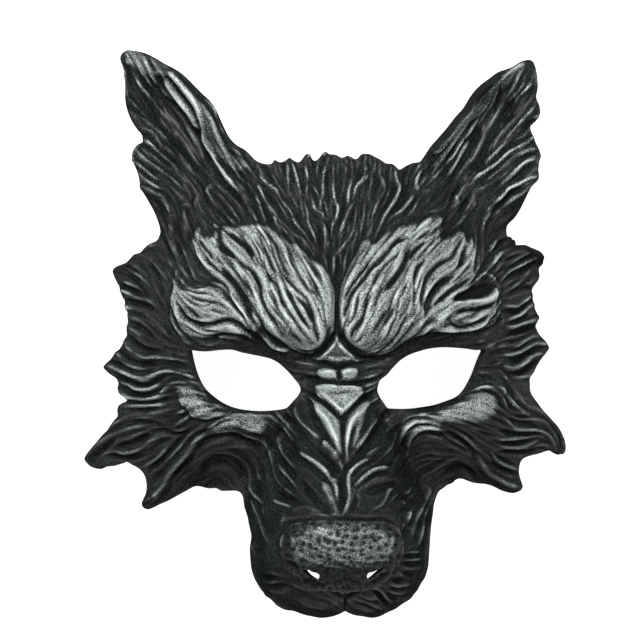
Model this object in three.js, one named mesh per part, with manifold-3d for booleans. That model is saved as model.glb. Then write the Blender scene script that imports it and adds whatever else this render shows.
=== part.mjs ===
import * as THREE from "three";
import { mergeVertices } from "three/addons/utils/BufferGeometryUtils.js";
import Module from "manifold-3d";

// A wolf half mask moulded in one piece, lying face up on a table. Millimetres.
// X runs to the right of someone who looks at the face, Y towards the ears and Z out of the face.

// Overall sizes
const maskWidth = 203.5; // between the tips of the cheek tufts
const maskHeight = 229; // from the lip to the ear tips
const browDepth = 60.5; // brow above the table
const noseDepth = 102; // nose pad above the table
const muzzleWidth = 73;
const wall = 2.6;
const faceMiddle = 2.6; // the sculpted middle line stands this far right of the outline's

// Features
const eyeWidth = 44;
const eyeHeight = 24.5;
const eyeGap = 31.4; // between the inner corners
const eyeDrop = 22; // centre of the eyes below the middle of the height
const nostrilLength = 6.6;
const nostrilHeight = 2.8;
const nostrilGap = 18; // between the inner ends
const earRise = 31; // ears above the table where they leave the brow
const helixHeight = 5.5;
const cupDepth = 7.5;
const browRise = 6.5;
const socketDepth = 7.5;
const cheekRise = 4;
const hollowDepth = 9;
const foldRise = 3.4; // the tallest fold over the smooth form
const foldWidth = 7; // half the width of the widest fold

// Strap pads
const padLength = 20;
const padWidth = 12;
const padThickness = 3.2; // at the middle of the pad
const padClearance = 0.3; // to the inside of the wall
const padAcross = 66; // centre of each pad from the middle of the width
const padUp = 8; // centre of each pad above the middle of the height

// Mesh fineness
const outerStep = 4.2;
const innerStep = 7;
const edgeStep = 3.6;
const steepSlope = 1.7; // a slope that needs points twice as close

const halfWidth = maskWidth / 2;
const halfHeight = maskHeight / 2;
const eyeMiddle = (eyeGap + eyeWidth) / 2;
const nostrilMiddle = (nostrilGap + nostrilLength) / 2;

// Rows with named columns
function table(names, rows) {
  const keys = names.split(" ");
  return rows.map((row) => Object.fromEntries(row.map((value, i) => [keys[i], value])));
}

// Sections of the face from the forehead to the jaw. y in half heights, crown and rim in brow
// depths, half in half widths.
const faceSections = table("y crown half rim", [
  [-1.1, 0.13, 0.83, 0.1],
  [-0.7, 0.45, 0.89, 0.1],
  [-0.575, 0.6, 0.95, 0.06],
  [-0.455, 0.76, 0.985, -0.02],
  [-0.315, 0.91, 0.955, 0.03],
  [-0.175, 0.99, 0.91, 0.07],
  [-0.04, 1, 0.89, 0.08],
  [0.09, 0.95, 0.87, 0.06],
  [0.24, 0.86, 0.87, -0.02],
  [0.44, 0.7, 0.89, 0.05],
  [0.61, 0.55, 0.91, 0.1],
  [0.83, 0.48, 0.95, 0.2],
  [1.1, 0.46, 0.98, 0.3],
]);

// Sections of the muzzle from the bridge to the lip. y in half heights, crown and foot in nose
// depths, half in half muzzle widths, and the power of its rounding.
const muzzleSections = table("y crown half foot power", [
  [-1.1, 1, 0.99, 0.63, 3.2],
  [-0.995, 1, 0.99, 0.59, 3.2],
  [-0.81, 1, 0.99, 0.46, 3.3],
  [-0.715, 0.99, 1, 0.365, 3.3],
  [-0.645, 0.95, 1.01, 0.275, 3.2],
  [-0.575, 0.895, 0.985, 0.205, 3],
  [-0.445, 0.79, 0.86, 0.255, 2.7],
  [-0.315, 0.69, 0.66, 0.33, 2.5],
  [-0.175, 0.613, 0.5, 0.39, 2.3],
  [-0.07, 0.585, 0.41, 0.41, 2.2],
  [0.045, 0.43, 0.33, 0.22, 2.2],
  [0.175, 0.2, 0.28, 0, 2.2],
]);

// The edge of the mask, clockwise, in half widths and half heights.
const edgeStretches = {
  leftEarInner: table("x y", [
    [-0.8, 1], [-0.74, 0.99], [-0.665, 0.953], [-0.55, 0.882], [-0.47, 0.81],
    [-0.43, 0.75], [-0.39, 0.675], [-0.33, 0.635], [-0.285, 0.593],
  ]),
  crown: table("x y", [
    [-0.24, 0.583], [-0.205, 0.6], [-0.18, 0.592], [-0.155, 0.608], [-0.125, 0.588],
    [-0.08, 0.622], [-0.055, 0.594], [-0.01, 0.628], [0.045, 0.604], [0.075, 0.615],
    [0.108, 0.598], [0.15, 0.623], [0.19, 0.61], [0.25, 0.584], [0.28, 0.565],
  ]),
  rightEarInner: table("x y", [
    [0.33, 0.59], [0.36, 0.595], [0.405, 0.632], [0.48, 0.702], [0.55, 0.778],
    [0.598, 0.839], [0.655, 0.886], [0.723, 0.933], [0.777, 0.96], [0.812, 0.968],
  ]),
  rightEarOuter: table("x y", [
    [0.838, 0.95], [0.85, 0.876], [0.844, 0.83], [0.858, 0.775], [0.85, 0.748],
    [0.818, 0.72], [0.836, 0.666], [0.858, 0.615], [0.847, 0.564], [0.84, 0.521],
    [0.796, 0.464], [0.756, 0.39], [0.728, 0.352],
  ]),
  rightTemple: table("x y", [
    [0.742, 0.326], [0.768, 0.317], [0.78, 0.296], [0.826, 0.29], [0.887, 0.264],
    [0.906, 0.245], [0.891, 0.215], [0.895, 0.19], [0.86, 0.145], [0.865, 0.086],
    [0.888, 0.034], [0.878, -0.01], [0.915, -0.072], [0.88, -0.13], [0.831, -0.18],
    [0.832, -0.23],
  ]),
  rightCheek: table("x y", [
    [0.898, -0.309], [0.962, -0.363], [1, -0.442], [0.99, -0.464], [0.935, -0.457],
    [0.872, -0.463], [0.803, -0.476], [0.782, -0.516], [0.802, -0.583], [0.761, -0.604],
    [0.698, -0.591], [0.633, -0.567], [0.54, -0.548], [0.502, -0.563], [0.446, -0.593],
  ]),
  rightLip: table("x y", [
    [0.427, -0.636], [0.4, -0.75], [0.38, -0.849], [0.339, -0.914], [0.273, -0.962],
    [0.21, -0.99], [0.148, -1], [0.08, -0.992], [0.035, -0.97],
  ]),
  leftLip: table("x y", [
    [0.012, -0.982], [-0.05, -1], [-0.12, -0.992], [-0.218, -0.964], [-0.283, -0.917],
    [-0.316, -0.868], [-0.328, -0.802], [-0.328, -0.727], [-0.342, -0.655], [-0.358, -0.595],
  ]),
  leftCheek: table("x y", [
    [-0.41, -0.587], [-0.49, -0.579], [-0.542, -0.571], [-0.602, -0.6], [-0.684, -0.639],
    [-0.738, -0.66], [-0.764, -0.633], [-0.742, -0.562], [-0.769, -0.511], [-0.822, -0.487],
    [-0.889, -0.507], [-0.966, -0.514], [-1, -0.485], [-0.948, -0.417], [-0.876, -0.334],
    [-0.863, -0.298], [-0.822, -0.26],
  ]),
  leftTemple: table("x y", [
    [-0.859, -0.218], [-0.868, -0.186], [-0.922, -0.144], [-0.869, -0.086], [-0.825, -0.009],
    [-0.824, 0.049], [-0.859, 0.148], [-0.887, 0.203], [-0.829, 0.238], [-0.766, 0.273],
    [-0.715, 0.307], [-0.689, 0.334],
  ]),
  leftEarOuter: table("x y", [
    [-0.71, 0.412], [-0.754, 0.479], [-0.768, 0.514], [-0.798, 0.592], [-0.79, 0.635],
    [-0.756, 0.664], [-0.757, 0.693], [-0.809, 0.762], [-0.828, 0.837], [-0.848, 0.963],
  ]),
};

// The eye opening from its outer corner, over the lid, for an eye left of the middle. x and y in
// eye widths and heights from its centre.
const eyeOutline = table("x y", [
  [-0.5, 0.47], [-0.33, 0.46], [-0.12, 0.48], [0.06, 0.41], [0.22, 0.33], [0.34, 0.19],
  [0.44, 0.01], [0.5, -0.17], [0.43, -0.36], [0.33, -0.48], [0.16, -0.5], [-0.04, -0.46],
  [-0.2, -0.35], [-0.36, -0.13], [-0.45, 0.14],
]);

// The slit of a nostril left of the middle, in nostril lengths and heights from its centre.
const nostrilOutline = table("x y", [
  [-0.5, 0.5], [-0.1, 0.36], [0.3, 0.12], [0.5, -0.08], [0.38, -0.5], [0.1, -0.42], [-0.25, -0.02],
]);

// Folds over the smooth form, each on both sides of the middle line. From (x1, y1) to (x2, y2) in
// half widths and half heights, pulled sideways by bow half widths, with half width and rise in
// fold sizes.
const folds = table("x1 y1 x2 y2 bow width rise", [
  // brow pad
  [0.06, -0.07, 0.13, 0.4, -0.03, 1, 1],
  [0.15, -0.08, 0.32, 0.37, -0.03, 1, 1],
  [0.26, -0.07, 0.48, 0.3, -0.03, 0.9, 0.9],
  [0.38, -0.06, 0.6, 0.2, -0.02, 0.8, 0.8],
  [0.5, -0.04, 0.7, 0.1, -0.02, 0.7, 0.7],
  // eyelids
  [0.12, -0.12, 0.62, -0.05, 0.02, 0.5, 0.6],
  [0.2, -0.33, 0.6, -0.23, -0.03, 0.6, 0.6],
  // bridge
  [0.06, -0.14, 0.06, -0.22, 0, 0.6, 0.5],
  [0.03, -0.38, 0.2, -0.26, 0, 0.6, 0.6],
  [0.03, -0.56, 0.14, -0.42, 0, 0.6, 0.6],
  [0.09, -0.7, 0.16, -0.52, 0, 0.7, 0.5],
  // cheek
  [0.3, -0.38, 0.62, -0.22, -0.02, 0.8, 0.8],
  [0.5, -0.34, 0.97, -0.47, 0.06, 1, 1],
  [0.4, -0.46, 0.76, -0.63, 0.05, 1, 0.9],
  [0.62, -0.3, 0.82, -0.5, 0.04, 0.8, 0.6],
  [0.66, -0.14, 0.9, -0.15, 0.04, 0.9, 0.8],
  [0.64, 0, 0.86, 0.03, 0.03, 0.8, 0.6],
  [0.62, 0.14, 0.88, 0.21, 0.03, 0.9, 0.8],
  // crown
  [0.02, 0.38, 0.02, 0.6, 0, 0.6, 0.6],
  [0.12, 0.42, 0.16, 0.6, 0, 0.6, 0.6],
  [0.24, 0.4, 0.3, 0.56, 0, 0.6, 0.6],
  // ear
  [0.5, 0.46, 0.82, 0.86, 0.03, 0.7, 0.7],
  [0.6, 0.42, 0.82, 0.6, 0.03, 0.8, 0.8],
  [0.42, 0.5, 0.68, 0.86, 0.02, 0.6, 0.6],
  // muzzle side and lip
  [0.24, -0.5, 0.31, -0.72, 0.02, 0.7, 0.7],
  [0.14, -0.97, 0.3, -0.8, 0.02, 0.7, 0.6],
  [0.04, -0.92, 0.22, -0.92, 0, 0.6, 0.6],
]);

// Nose pad raised over the muzzle. Sizes in half widths and half heights, its rise in fold rises.
const nosePad = { y: -0.77, halfWide: 0.235, halfHigh: 0.135, power: 3.2, rise: 0.9 };
const nosePadSoftness = 0.35; // share of the pad that its rounded edge takes

const smoothStep = (from, to, value) => THREE.MathUtils.smoothstep(value, from, to);

// Smooth larger of two heights, blended over a height of r
function smoothMax(a, b, r) {
  const share = THREE.MathUtils.clamp(0.5 + (0.5 * (a - b)) / r, 0, 1);
  return b + (a - b) * share + r * share * (1 - share);
}

// A column of a table of sections at height y, on a monotone cubic through the rows
function columnAt(rows, key, y) {
  const last = rows.length - 2;
  let i = 0;
  while (i < last && rows[i + 1].y < y) i += 1;
  const grade = (k) => (rows[k + 1][key] - rows[k][key]) / (rows[k + 1].y - rows[k].y);
  const slopeAt = (k) => {
    if (k === 0 || k > last) return grade(Math.min(k, last));
    const below = grade(k - 1);
    const above = grade(k);
    return below * above > 0 ? (2 * below * above) / (below + above) : 0;
  };
  const span = rows[i + 1].y - rows[i].y;
  const t = THREE.MathUtils.clamp((y - rows[i].y) / span, -0.2, 1.2);
  const startWeight = (2 * t - 3) * t * t + 1;
  return (
    rows[i][key] * startWeight +
    rows[i + 1][key] * (1 - startWeight) +
    span * t * (t - 1) * (slopeAt(i) * (t - 1) + slopeAt(i + 1) * t)
  );
}

// Round swelling centred at (x, y), in half widths and half heights
function swelling(u, v, x, y, wide, high, turn = 0) {
  const across = (u - x) * halfWidth;
  const up = (v - y) * halfHeight;
  const c = Math.cos(turn);
  const s = Math.sin(turn);
  const along = (across * c + up * s) / (wide * halfWidth);
  const over = (up * c - across * s) / (high * halfHeight);
  return Math.exp(-along * along - over * over);
}

// The ear's own plane with its rolled inner rim and its cup
const earLean = 0.577; // radians from the vertical
const ear = { x: 0.51, y: 0.576, rimAcross: -0.13, rimHalf: 0.044, cupAcross: -0.01, cupHalf: 0.095 };
function earAt(u, v) {
  const across = (u - ear.x) * halfWidth;
  const up = (v - ear.y) * halfHeight;
  const along = (across * Math.sin(earLean) + up * Math.cos(earLean)) / halfHeight;
  const side = (across * Math.cos(earLean) - up * Math.sin(earLean)) / halfWidth;
  const rimPlace = (side - ear.rimAcross - 0.11 * along) / ear.rimHalf;
  const cupPlace = (side - ear.cupAcross) / ear.cupHalf;
  const helix = Math.exp(-rimPlace * rimPlace) * smoothStep(-0.12, 0.07, along);
  const cup = Math.exp(-cupPlace * cupPlace) * smoothStep(-0.12, 0.035, along);
  const plane = earRise * (1 - 0.44 * (v - ear.y) - 0.33 * (u - 0.49));
  return {
    height: plane + helixHeight * helix * (1 - smoothStep(0.3, 0.47, along))
      - cupDepth * cup * (1 - smoothStep(0.23, 0.42, along)),
    share: smoothStep(-0.14, 0.09, along) * smoothStep(0.14, 0.335, u),
  };
}

// Height of the smooth form over the table
const sectionRounding = 2.4;
const muzzleEnd = { y: -0.7, reach: 0.305, power: 2.5 };
const lipFall = 0.8; // slope of the form past the lip's edge
const cheekFall = 3.7; // and how much steeper it falls where the muzzle meets the cheek
function smoothForm(x, y) {
  const u = Math.abs(x) / halfWidth;
  const v = y / halfHeight;
  const middle = faceMiddle * (1 - smoothStep(0.26, 0.52, v));
  const m = Math.abs(x - middle) / halfWidth;
  const crown = browDepth * columnAt(faceSections, "crown", v);
  const rim = browDepth * columnAt(faceSections, "rim", v);
  const reach = u / columnAt(faceSections, "half", v);
  const dome = rim + (crown - rim) * (1 - Math.pow(reach, sectionRounding));
  const earHere = earAt(u, v);
  let face = smoothMax(dome, rim, browDepth * 0.13);
  face = THREE.MathUtils.lerp(face, earHere.height, earHere.share);
  const ledge = -0.083 + 0.2 * m * m;
  const browSpan = Math.exp(-Math.pow((m - 0.325) / 0.305, 4));
  face += browRise * browSpan * smoothStep(ledge, ledge + 0.08, v) * (1 - smoothStep(0.14, 0.33, v));
  face -= socketDepth * swelling(m, v, 0.375, -0.19, 0.266, 0.114, -0.07);
  face += cheekRise * swelling(m, v, 0.53, -0.288, 0.177, 0.079, 0.35);
  face -= hollowDepth * swelling(m, v, 0.443, -0.54, 0.148, 0.087);
  const half = (muzzleWidth / 2) * columnAt(muzzleSections, "half", v);
  const top = noseDepth * columnAt(muzzleSections, "crown", v);
  const foot = noseDepth * columnAt(muzzleSections, "foot", v);
  const end = Math.max(0, muzzleEnd.y - v) / muzzleEnd.reach;
  const side = (m * halfWidth) / half;
  const out = Math.pow(Math.pow(side, muzzleEnd.power) + Math.pow(end, muzzleEnd.power), 1 / muzzleEnd.power);
  const fall = lipFall + cheekFall * smoothStep(-0.645, -0.525, v);
  const power = columnAt(muzzleSections, "power", v);
  const muzzle = foot + (top - foot) * (1 - Math.pow(Math.min(out, 1), power));
  return smoothMax(muzzle - fall * half * Math.max(out - 1, 0), face, browDepth * 0.08);
}

// Unit normal of the smooth form, read over a small reach
function normalAt(x, y, reach) {
  const slopeX = (smoothForm(x + reach, y) - smoothForm(x - reach, y)) / (2 * reach);
  const slopeY = (smoothForm(x, y + reach) - smoothForm(x, y - reach)) / (2 * reach);
  return new THREE.Vector3(-slopeX, -slopeY, 1).normalize();
}

// Each fold is a curve with its nearest point found along a few straight steps
const foldSteps = 6;
const foldCurves = folds.map((fold) => {
  const start = new THREE.Vector2(fold.x1 * halfWidth, fold.y1 * halfHeight);
  const end = new THREE.Vector2(fold.x2 * halfWidth, fold.y2 * halfHeight);
  const sideways = new THREE.Vector2(end.y - start.y, start.x - end.x).normalize();
  const middle = start.clone().add(end).multiplyScalar(0.5);
  middle.addScaledVector(sideways, 2 * fold.bow * halfWidth);
  const points = new THREE.QuadraticBezierCurve(start, middle, end).getPoints(foldSteps);
  return { points, width: fold.width * foldWidth, rise: fold.rise * foldRise };
});

function reliefAt(x, y) {
  const place = new THREE.Vector2(Math.abs(x - faceMiddle), y);
  let height = 0;
  for (const { points, width, rise } of foldCurves) {
    let nearest = Infinity;
    for (let i = 0; i < foldSteps; i += 1) {
      const run = points[i + 1].clone().sub(points[i]);
      const share = THREE.MathUtils.clamp(place.clone().sub(points[i]).dot(run) / run.lengthSq(), 0, 1);
      nearest = Math.min(nearest, points[i].clone().addScaledVector(run, share).distanceTo(place));
    }
    height = Math.max(height, rise * Math.exp(-Math.pow(nearest / width, 2) * 3));
  }
  const padX = place.x / (nosePad.halfWide * halfWidth);
  const padY = Math.abs(y / halfHeight - nosePad.y) / nosePad.halfHigh;
  const out = Math.pow(Math.pow(padX, nosePad.power) + Math.pow(padY, nosePad.power), 1 / nosePad.power);
  const pad = foldRise * nosePad.rise * (1 - smoothStep(1 - nosePadSoftness, 1, out));
  return Math.max(height * smoothStep(0.9, 1.1, out), pad);
}

// Points along a closed curve through a list of places, about one step apart
function closedLoop(places, step) {
  const corners = places.map((p) => new THREE.Vector3(p.x, p.y, 0));
  const curve = new THREE.CatmullRomCurve3(corners, true, "centripetal");
  const count = Math.max(8, Math.round(curve.getLength() / step));
  return curve.getSpacedPoints(count).slice(0, count).map((p) => new THREE.Vector2(p.x, p.y));
}

const edgePlaces = Object.values(edgeStretches).flat();
const edgeLoop = closedLoop(
  edgePlaces.map((p) => ({ x: p.x * halfWidth, y: p.y * halfHeight })),
  edgeStep,
);
const eyeLoop = (side) =>
  closedLoop(
    eyeOutline.map((p) => ({
      x: faceMiddle + side * (eyeMiddle - p.x * eyeWidth),
      y: p.y * eyeHeight - eyeDrop,
    })),
    edgeStep,
  );
const nostrilDrop = 0.808 * halfHeight;
const nostrilLoop = (side) =>
  closedLoop(
    nostrilOutline.map((p) => ({
      x: faceMiddle + side * (nostrilMiddle - p.x * nostrilLength),
      y: p.y * nostrilHeight - nostrilDrop,
    })),
    nostrilHeight / 2,
  );
const holeLoops = [eyeLoop(-1), eyeLoop(1), nostrilLoop(-1), nostrilLoop(1)];

function isInside(loop, x, y) {
  let inside = false;
  for (let i = 0, j = loop.length - 1; i < loop.length; j = i, i += 1) {
    const a = loop[i];
    const b = loop[j];
    if (a.y > y !== b.y > y && x < ((b.x - a.x) * (y - a.y)) / (b.y - a.y) + a.x) inside = !inside;
  }
  return inside;
}
const onMaterial = (x, y) => isInside(edgeLoop, x, y) && !holeLoops.some((loop) => isInside(loop, x, y));

// Places inside the edge on a triangular net, twice as close where the wall is steep
function netPlaces(step, edgePoints) {
  const places = [];
  const rise = (step / 2) * Math.sqrt(0.75);
  const rows = Math.ceil(maskHeight / rise / 2) * 2;
  const columns = Math.ceil(maskWidth / step) * 2;
  for (let row = -rows; row <= rows; row += 1) {
    for (let column = -columns; column <= columns; column += 1) {
      const x = ((column + (row % 2 ? 0.5 : 0)) * step) / 2;
      const y = row * rise;
      const coarse = row % 2 === 0 && (column + row / 2) % 2 === 0;
      if (Math.abs(x) > halfWidth || Math.abs(y) > halfHeight || !onMaterial(x, y)) continue;
      const normal = normalAt(x, y, 1);
      if (!coarse && Math.hypot(normal.x, normal.y) < steepSlope * normal.z) continue;
      const room = coarse ? step * 0.55 : step * 0.35;
      if (edgePoints.some((p) => Math.hypot(p.x - x, p.y - y) < room)) continue;
      places.push(new THREE.Vector2(x + 1e-3 * Math.sin(7 * x + y), y + 1e-3 * Math.cos(5 * y - x)));
    }
  }
  return places;
}

// Delaunay triangles over a set of places, swept from left to right
function triangulate(places) {
  const far = 20 * Math.max(maskWidth, maskHeight);
  const all = [...places, { x: -far, y: -far }, { x: far, y: -far }, { x: 0, y: far }];
  const circle = (i, j, k) => {
    const [a, b, c] = [all[i], all[j], all[k]];
    const d = 2 * (a.x * (b.y - c.y) + b.x * (c.y - a.y) + c.x * (a.y - b.y));
    const [aa, bb, cc] = [a, b, c].map((p) => p.x * p.x + p.y * p.y);
    const x = (aa * (b.y - c.y) + bb * (c.y - a.y) + cc * (a.y - b.y)) / d;
    const y = (aa * (c.x - b.x) + bb * (a.x - c.x) + cc * (b.x - a.x)) / d;
    return { i, j, k, x, y, r: Math.hypot(a.x - x, a.y - y) };
  };
  const order = places.map((_, i) => i).sort((i, j) => all[i].x - all[j].x);
  const n = places.length;
  let open = [circle(n, n + 1, n + 2)];
  const closed = [];
  for (const index of order) {
    const p = all[index];
    const rim = new Map();
    const kept = [];
    for (const t of open) {
      if (p.x - t.x > t.r) {
        closed.push(t);
        continue;
      }
      if (Math.hypot(p.x - t.x, p.y - t.y) >= t.r) {
        kept.push(t);
        continue;
      }
      for (const [a, b] of [[t.i, t.j], [t.j, t.k], [t.k, t.i]]) {
        if (!rim.delete(`${b} ${a}`)) rim.set(`${a} ${b}`, [a, b]);
      }
    }
    open = [...kept, ...[...rim.values()].map(([a, b]) => circle(a, b, index))];
  }
  return [...closed, ...open]
    .filter((t) => t.i < n && t.j < n && t.k < n)
    .map((t) => [t.i, t.j, t.k]);
}

// The sides of the loops, as pairs of indices into their joined points
function sidesOf(loops) {
  const sides = [];
  let first = 0;
  for (const loop of loops) {
    for (let i = 0; i < loop.length; i += 1) sides.push([first + i, first + ((i + 1) % loop.length)]);
    first += loop.length;
  }
  return sides;
}

// A sheet of triangles that keeps to the material, over the loops' points and a net of places. A
// place of the net that keeps a side of a loop out of the sheet is dropped.
function sheet(loops, step) {
  const edgePoints = loops.flat();
  const edgeSides = sidesOf(loops);
  let net = netPlaces(step, edgePoints);
  for (;;) {
    const places = [...edgePoints, ...net];
    const triangles = triangulate(places);
    const linked = new Set();
    for (const [a, b, c] of triangles) {
      for (const [p, q] of [[a, b], [b, c], [c, a]]) linked.add(`${p} ${q}`).add(`${q} ${p}`);
    }
    const lost = edgeSides.filter(([p, q]) => !linked.has(`${p} ${q}`));
    const isBetween = (place, [p, q]) =>
      place.clone().sub(places[p]).dot(place.clone().sub(places[q])) < 0;
    const kept = net.filter((place) => !lost.some((side) => isBetween(place, side)));
    if (kept.length === net.length) {
      const faces = triangles.filter((face) => {
        const x = face.reduce((sum, i) => sum + places[i].x, 0) / 3;
        const y = face.reduce((sum, i) => sum + places[i].y, 0) / 3;
        return onMaterial(x, y);
      });
      return { places, faces };
    }
    net = kept;
  }
}

function solidFrom(vertices, triangles) {
  const vertProperties = new Float32Array(vertices.flatMap((v) => [v.x, v.y, v.z]));
  const triVerts = new Uint32Array(triangles.flat());
  return new wasm.Manifold(new wasm.Mesh({ numProp: 3, vertProperties, triVerts }));
}

function solidOf(geometry) {
  const bare = geometry.clone().deleteAttribute("normal").deleteAttribute("uv");
  const merged = mergeVertices(bare, 1e-4);
  return new wasm.Manifold(
    new wasm.Mesh({
      numProp: 3,
      vertProperties: merged.attributes.position.array,
      triVerts: new Uint32Array(merged.index.array),
    }),
  );
}

function geometryOf(solid) {
  const mesh = solid.getMesh();
  const geometry = new THREE.BufferGeometry();
  geometry.setAttribute("position", new THREE.BufferAttribute(mesh.vertProperties, 3));
  geometry.setIndex(new THREE.BufferAttribute(mesh.triVerts, 1));
  geometry.computeVertexNormals();
  return geometry;
}

// The moulded shell: a sculpted outside, a smooth inside and one edge all round, cut flat where
// its tufts rest on the table
const outerReach = 0.4;
const innerReach = 3;
function moulding() {
  const loops = [edgeLoop, ...holeLoops];
  const outside = sheet(loops, outerStep);
  const inside = sheet(loops, innerStep);
  const vertices = outside.places.map(({ x, y }) => {
    const normal = normalAt(x, y, outerReach);
    return new THREE.Vector3(x, y, smoothForm(x, y)).addScaledVector(normal, reliefAt(x, y));
  });
  const first = vertices.length;
  for (const { x, y } of inside.places) {
    const normal = normalAt(x, y, innerReach);
    vertices.push(new THREE.Vector3(x, y, smoothForm(x, y)).addScaledVector(normal, -wall));
  }
  const triangles = [...outside.faces];
  for (const [a, b, c] of inside.faces) triangles.push([a + first, c + first, b + first]);
  const sides = new Map();
  for (const [a, b, c] of outside.faces) {
    for (const [p, q] of [[a, b], [b, c], [c, a]]) {
      if (!sides.delete(`${q} ${p}`)) sides.set(`${p} ${q}`, [p, q]);
    }
  }
  for (const [p, q] of sides.values()) triangles.push([q, p, p + first], [q, p + first, q + first]);
  const above = new THREE.BoxGeometry(2 * maskWidth, 2 * maskHeight, 2 * noseDepth);
  above.translate(0, 0, noseDepth);
  return solidFrom(vertices, triangles).intersect(solidOf(above));
}

// A plain pad inside a temple: a flat face for the strap, a back that follows the wall
const padSteps = { along: 8, across: 5 };
function strapPad(side) {
  const middle = new THREE.Vector3(side * padAcross, padUp, 0);
  middle.z = smoothForm(middle.x, middle.y);
  const normal = normalAt(middle.x, middle.y, innerReach);
  const along = new THREE.Vector3(0, 1, 0).addScaledVector(normal, -normal.y).normalize();
  const across = new THREE.Vector3().crossVectors(along, normal);
  middle.addScaledVector(normal, -(wall + padClearance + padThickness));
  const columns = padSteps.along + 1;
  const rows = padSteps.across + 1;
  const flat = [];
  const back = [];
  for (let row = 0; row < rows; row += 1) {
    for (let column = 0; column < columns; column += 1) {
      const foot = middle.clone()
        .addScaledVector(along, (column / padSteps.along - 0.5) * padLength)
        .addScaledVector(across, (row / padSteps.across - 0.5) * padWidth);
      const top = foot.clone();
      const underWall = (p) => {
        const outward = normalAt(p.x, p.y, innerReach);
        const gap = (smoothForm(p.x, p.y) - p.z) * outward.z;
        return gap - wall - padClearance;
      };
      for (let turn = 0; turn < 12; turn += 1) top.addScaledVector(normal, 0.7 * underWall(top));
      flat.push(foot);
      back.push(top);
    }
  }
  const under = flat.length;
  const triangles = [];
  const quad = (a, b, c, d) => triangles.push([a, c, b], [a, d, c]);
  for (let row = 0; row + 1 < rows; row += 1) {
    for (let column = 0; column + 1 < columns; column += 1) {
      const at = row * columns + column;
      quad(at, at + columns, at + columns + 1, at + 1);
      quad(under + at, under + at + 1, under + at + columns + 1, under + at + columns);
    }
  }
  for (let column = 0; column + 1 < columns; column += 1) {
    const low = column;
    const high = (rows - 1) * columns + column;
    quad(low, low + 1, under + low + 1, under + low);
    quad(high + 1, high, under + high, under + high + 1);
  }
  for (let row = 0; row + 1 < rows; row += 1) {
    const low = row * columns;
    const high = low + columns - 1;
    quad(low + columns, low, under + low, under + low + columns);
    quad(high, high + columns, under + high + columns, under + high);
  }
  return solidFrom([...flat, ...back], triangles);
}

const wasm = await Module();
wasm.setup();

const shellMaterial = new THREE.MeshStandardMaterial({ color: 0x3b3e3f, roughness: 0.5, metalness: 0.25 });
const padMaterial = new THREE.MeshStandardMaterial({ color: 0x1b1c1d, roughness: 0.8, metalness: 0 });

const mask = new THREE.Group();
function addPiece(name, solid, material) {
  const piece = new THREE.Mesh(geometryOf(solid), material);
  piece.name = name;
  mask.add(piece);
}
addPiece("mask_shell", moulding(), shellMaterial);
addPiece("strap_pad_left", strapPad(-1), padMaterial);
addPiece("strap_pad_right", strapPad(1), padMaterial);

// The origin stands under the middle of the box
const box = new THREE.Box3().setFromObject(mask);
const centre = box.getCenter(new THREE.Vector3());
mask.position.set(-centre.x, -centre.y, -box.min.z);

export default mask;
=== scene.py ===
import math

import bpy
import numpy as np
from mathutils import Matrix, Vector
from mathutils.geometry import delaunay_2d_cdt


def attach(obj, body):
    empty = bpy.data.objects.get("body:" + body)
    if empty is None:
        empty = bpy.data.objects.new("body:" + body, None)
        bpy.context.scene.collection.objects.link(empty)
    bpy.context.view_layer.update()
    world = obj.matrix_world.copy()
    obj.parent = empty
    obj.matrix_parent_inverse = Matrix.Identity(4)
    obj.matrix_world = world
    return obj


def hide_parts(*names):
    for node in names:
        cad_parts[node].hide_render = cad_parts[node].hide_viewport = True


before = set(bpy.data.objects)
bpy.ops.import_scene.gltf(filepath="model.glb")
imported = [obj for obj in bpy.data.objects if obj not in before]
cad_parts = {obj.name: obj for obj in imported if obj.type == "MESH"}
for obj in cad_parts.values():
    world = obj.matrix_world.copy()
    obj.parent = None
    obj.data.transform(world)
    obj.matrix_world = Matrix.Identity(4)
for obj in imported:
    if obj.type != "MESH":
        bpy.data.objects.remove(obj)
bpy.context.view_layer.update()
print("frame loaded")

# The form is worked out in millimetres, in the frame that it was sculpted in, and moved to the
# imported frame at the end.
mm = 0.001
sculptToFrame = np.array([-0.461, 0.055, 0.0])

photoView = {
    "pixels": 640,
    "distance": 1000.0,
    "mmPerPixel": 0.42,  # on the table
    "yaw": math.radians(2.7),
    "aimX": -2.1,
    "aimY": 3.1,
}

maskSizes = {
    "width": 203.5,
    "height": 229.0,
    "browDepth": 60.5,
    "noseDepth": 102.0,
    "muzzleWidth": 73.0,
    "wall": 2.6,
    "middle": 2.6,  # the sculpted middle line stands this far right of the outline's
    "earRise": 31.0,
    "helixHeight": 5.5,
    "cupDepth": 7.5,
    "browRise": 6.5,
    "socketDepth": 7.5,
    "cheekRise": 4.0,
    "hollowDepth": 9.0,
    "lipFall": 0.8,
    "cheekFall": 3.7,
    "lowest": 0.8,  # outside of the tufts that touch the table
}
halfWidth = maskSizes["width"] / 2
halfHeight = maskSizes["height"] / 2


def columns(names, rows):
    values = np.array(rows, float)
    return {name: values[:, i] for i, name in enumerate(names.split())}


# Sections of the face from the forehead to the jaw, as shares of the sizes above
faceSections = columns("y crown half rim", [
    [-1.1, 0.13, 0.83, 0.1],
    [-0.7, 0.45, 0.89, 0.1],
    [-0.575, 0.6, 0.95, 0.06],
    [-0.455, 0.76, 0.985, -0.02],
    [-0.315, 0.91, 0.955, 0.03],
    [-0.175, 0.99, 0.91, 0.07],
    [-0.04, 1, 0.89, 0.08],
    [0.09, 0.95, 0.87, 0.06],
    [0.24, 0.86, 0.87, -0.02],
    [0.44, 0.7, 0.89, 0.05],
    [0.61, 0.55, 0.91, 0.1],
    [0.83, 0.48, 0.95, 0.2],
    [1.1, 0.46, 0.98, 0.3],
])

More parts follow.
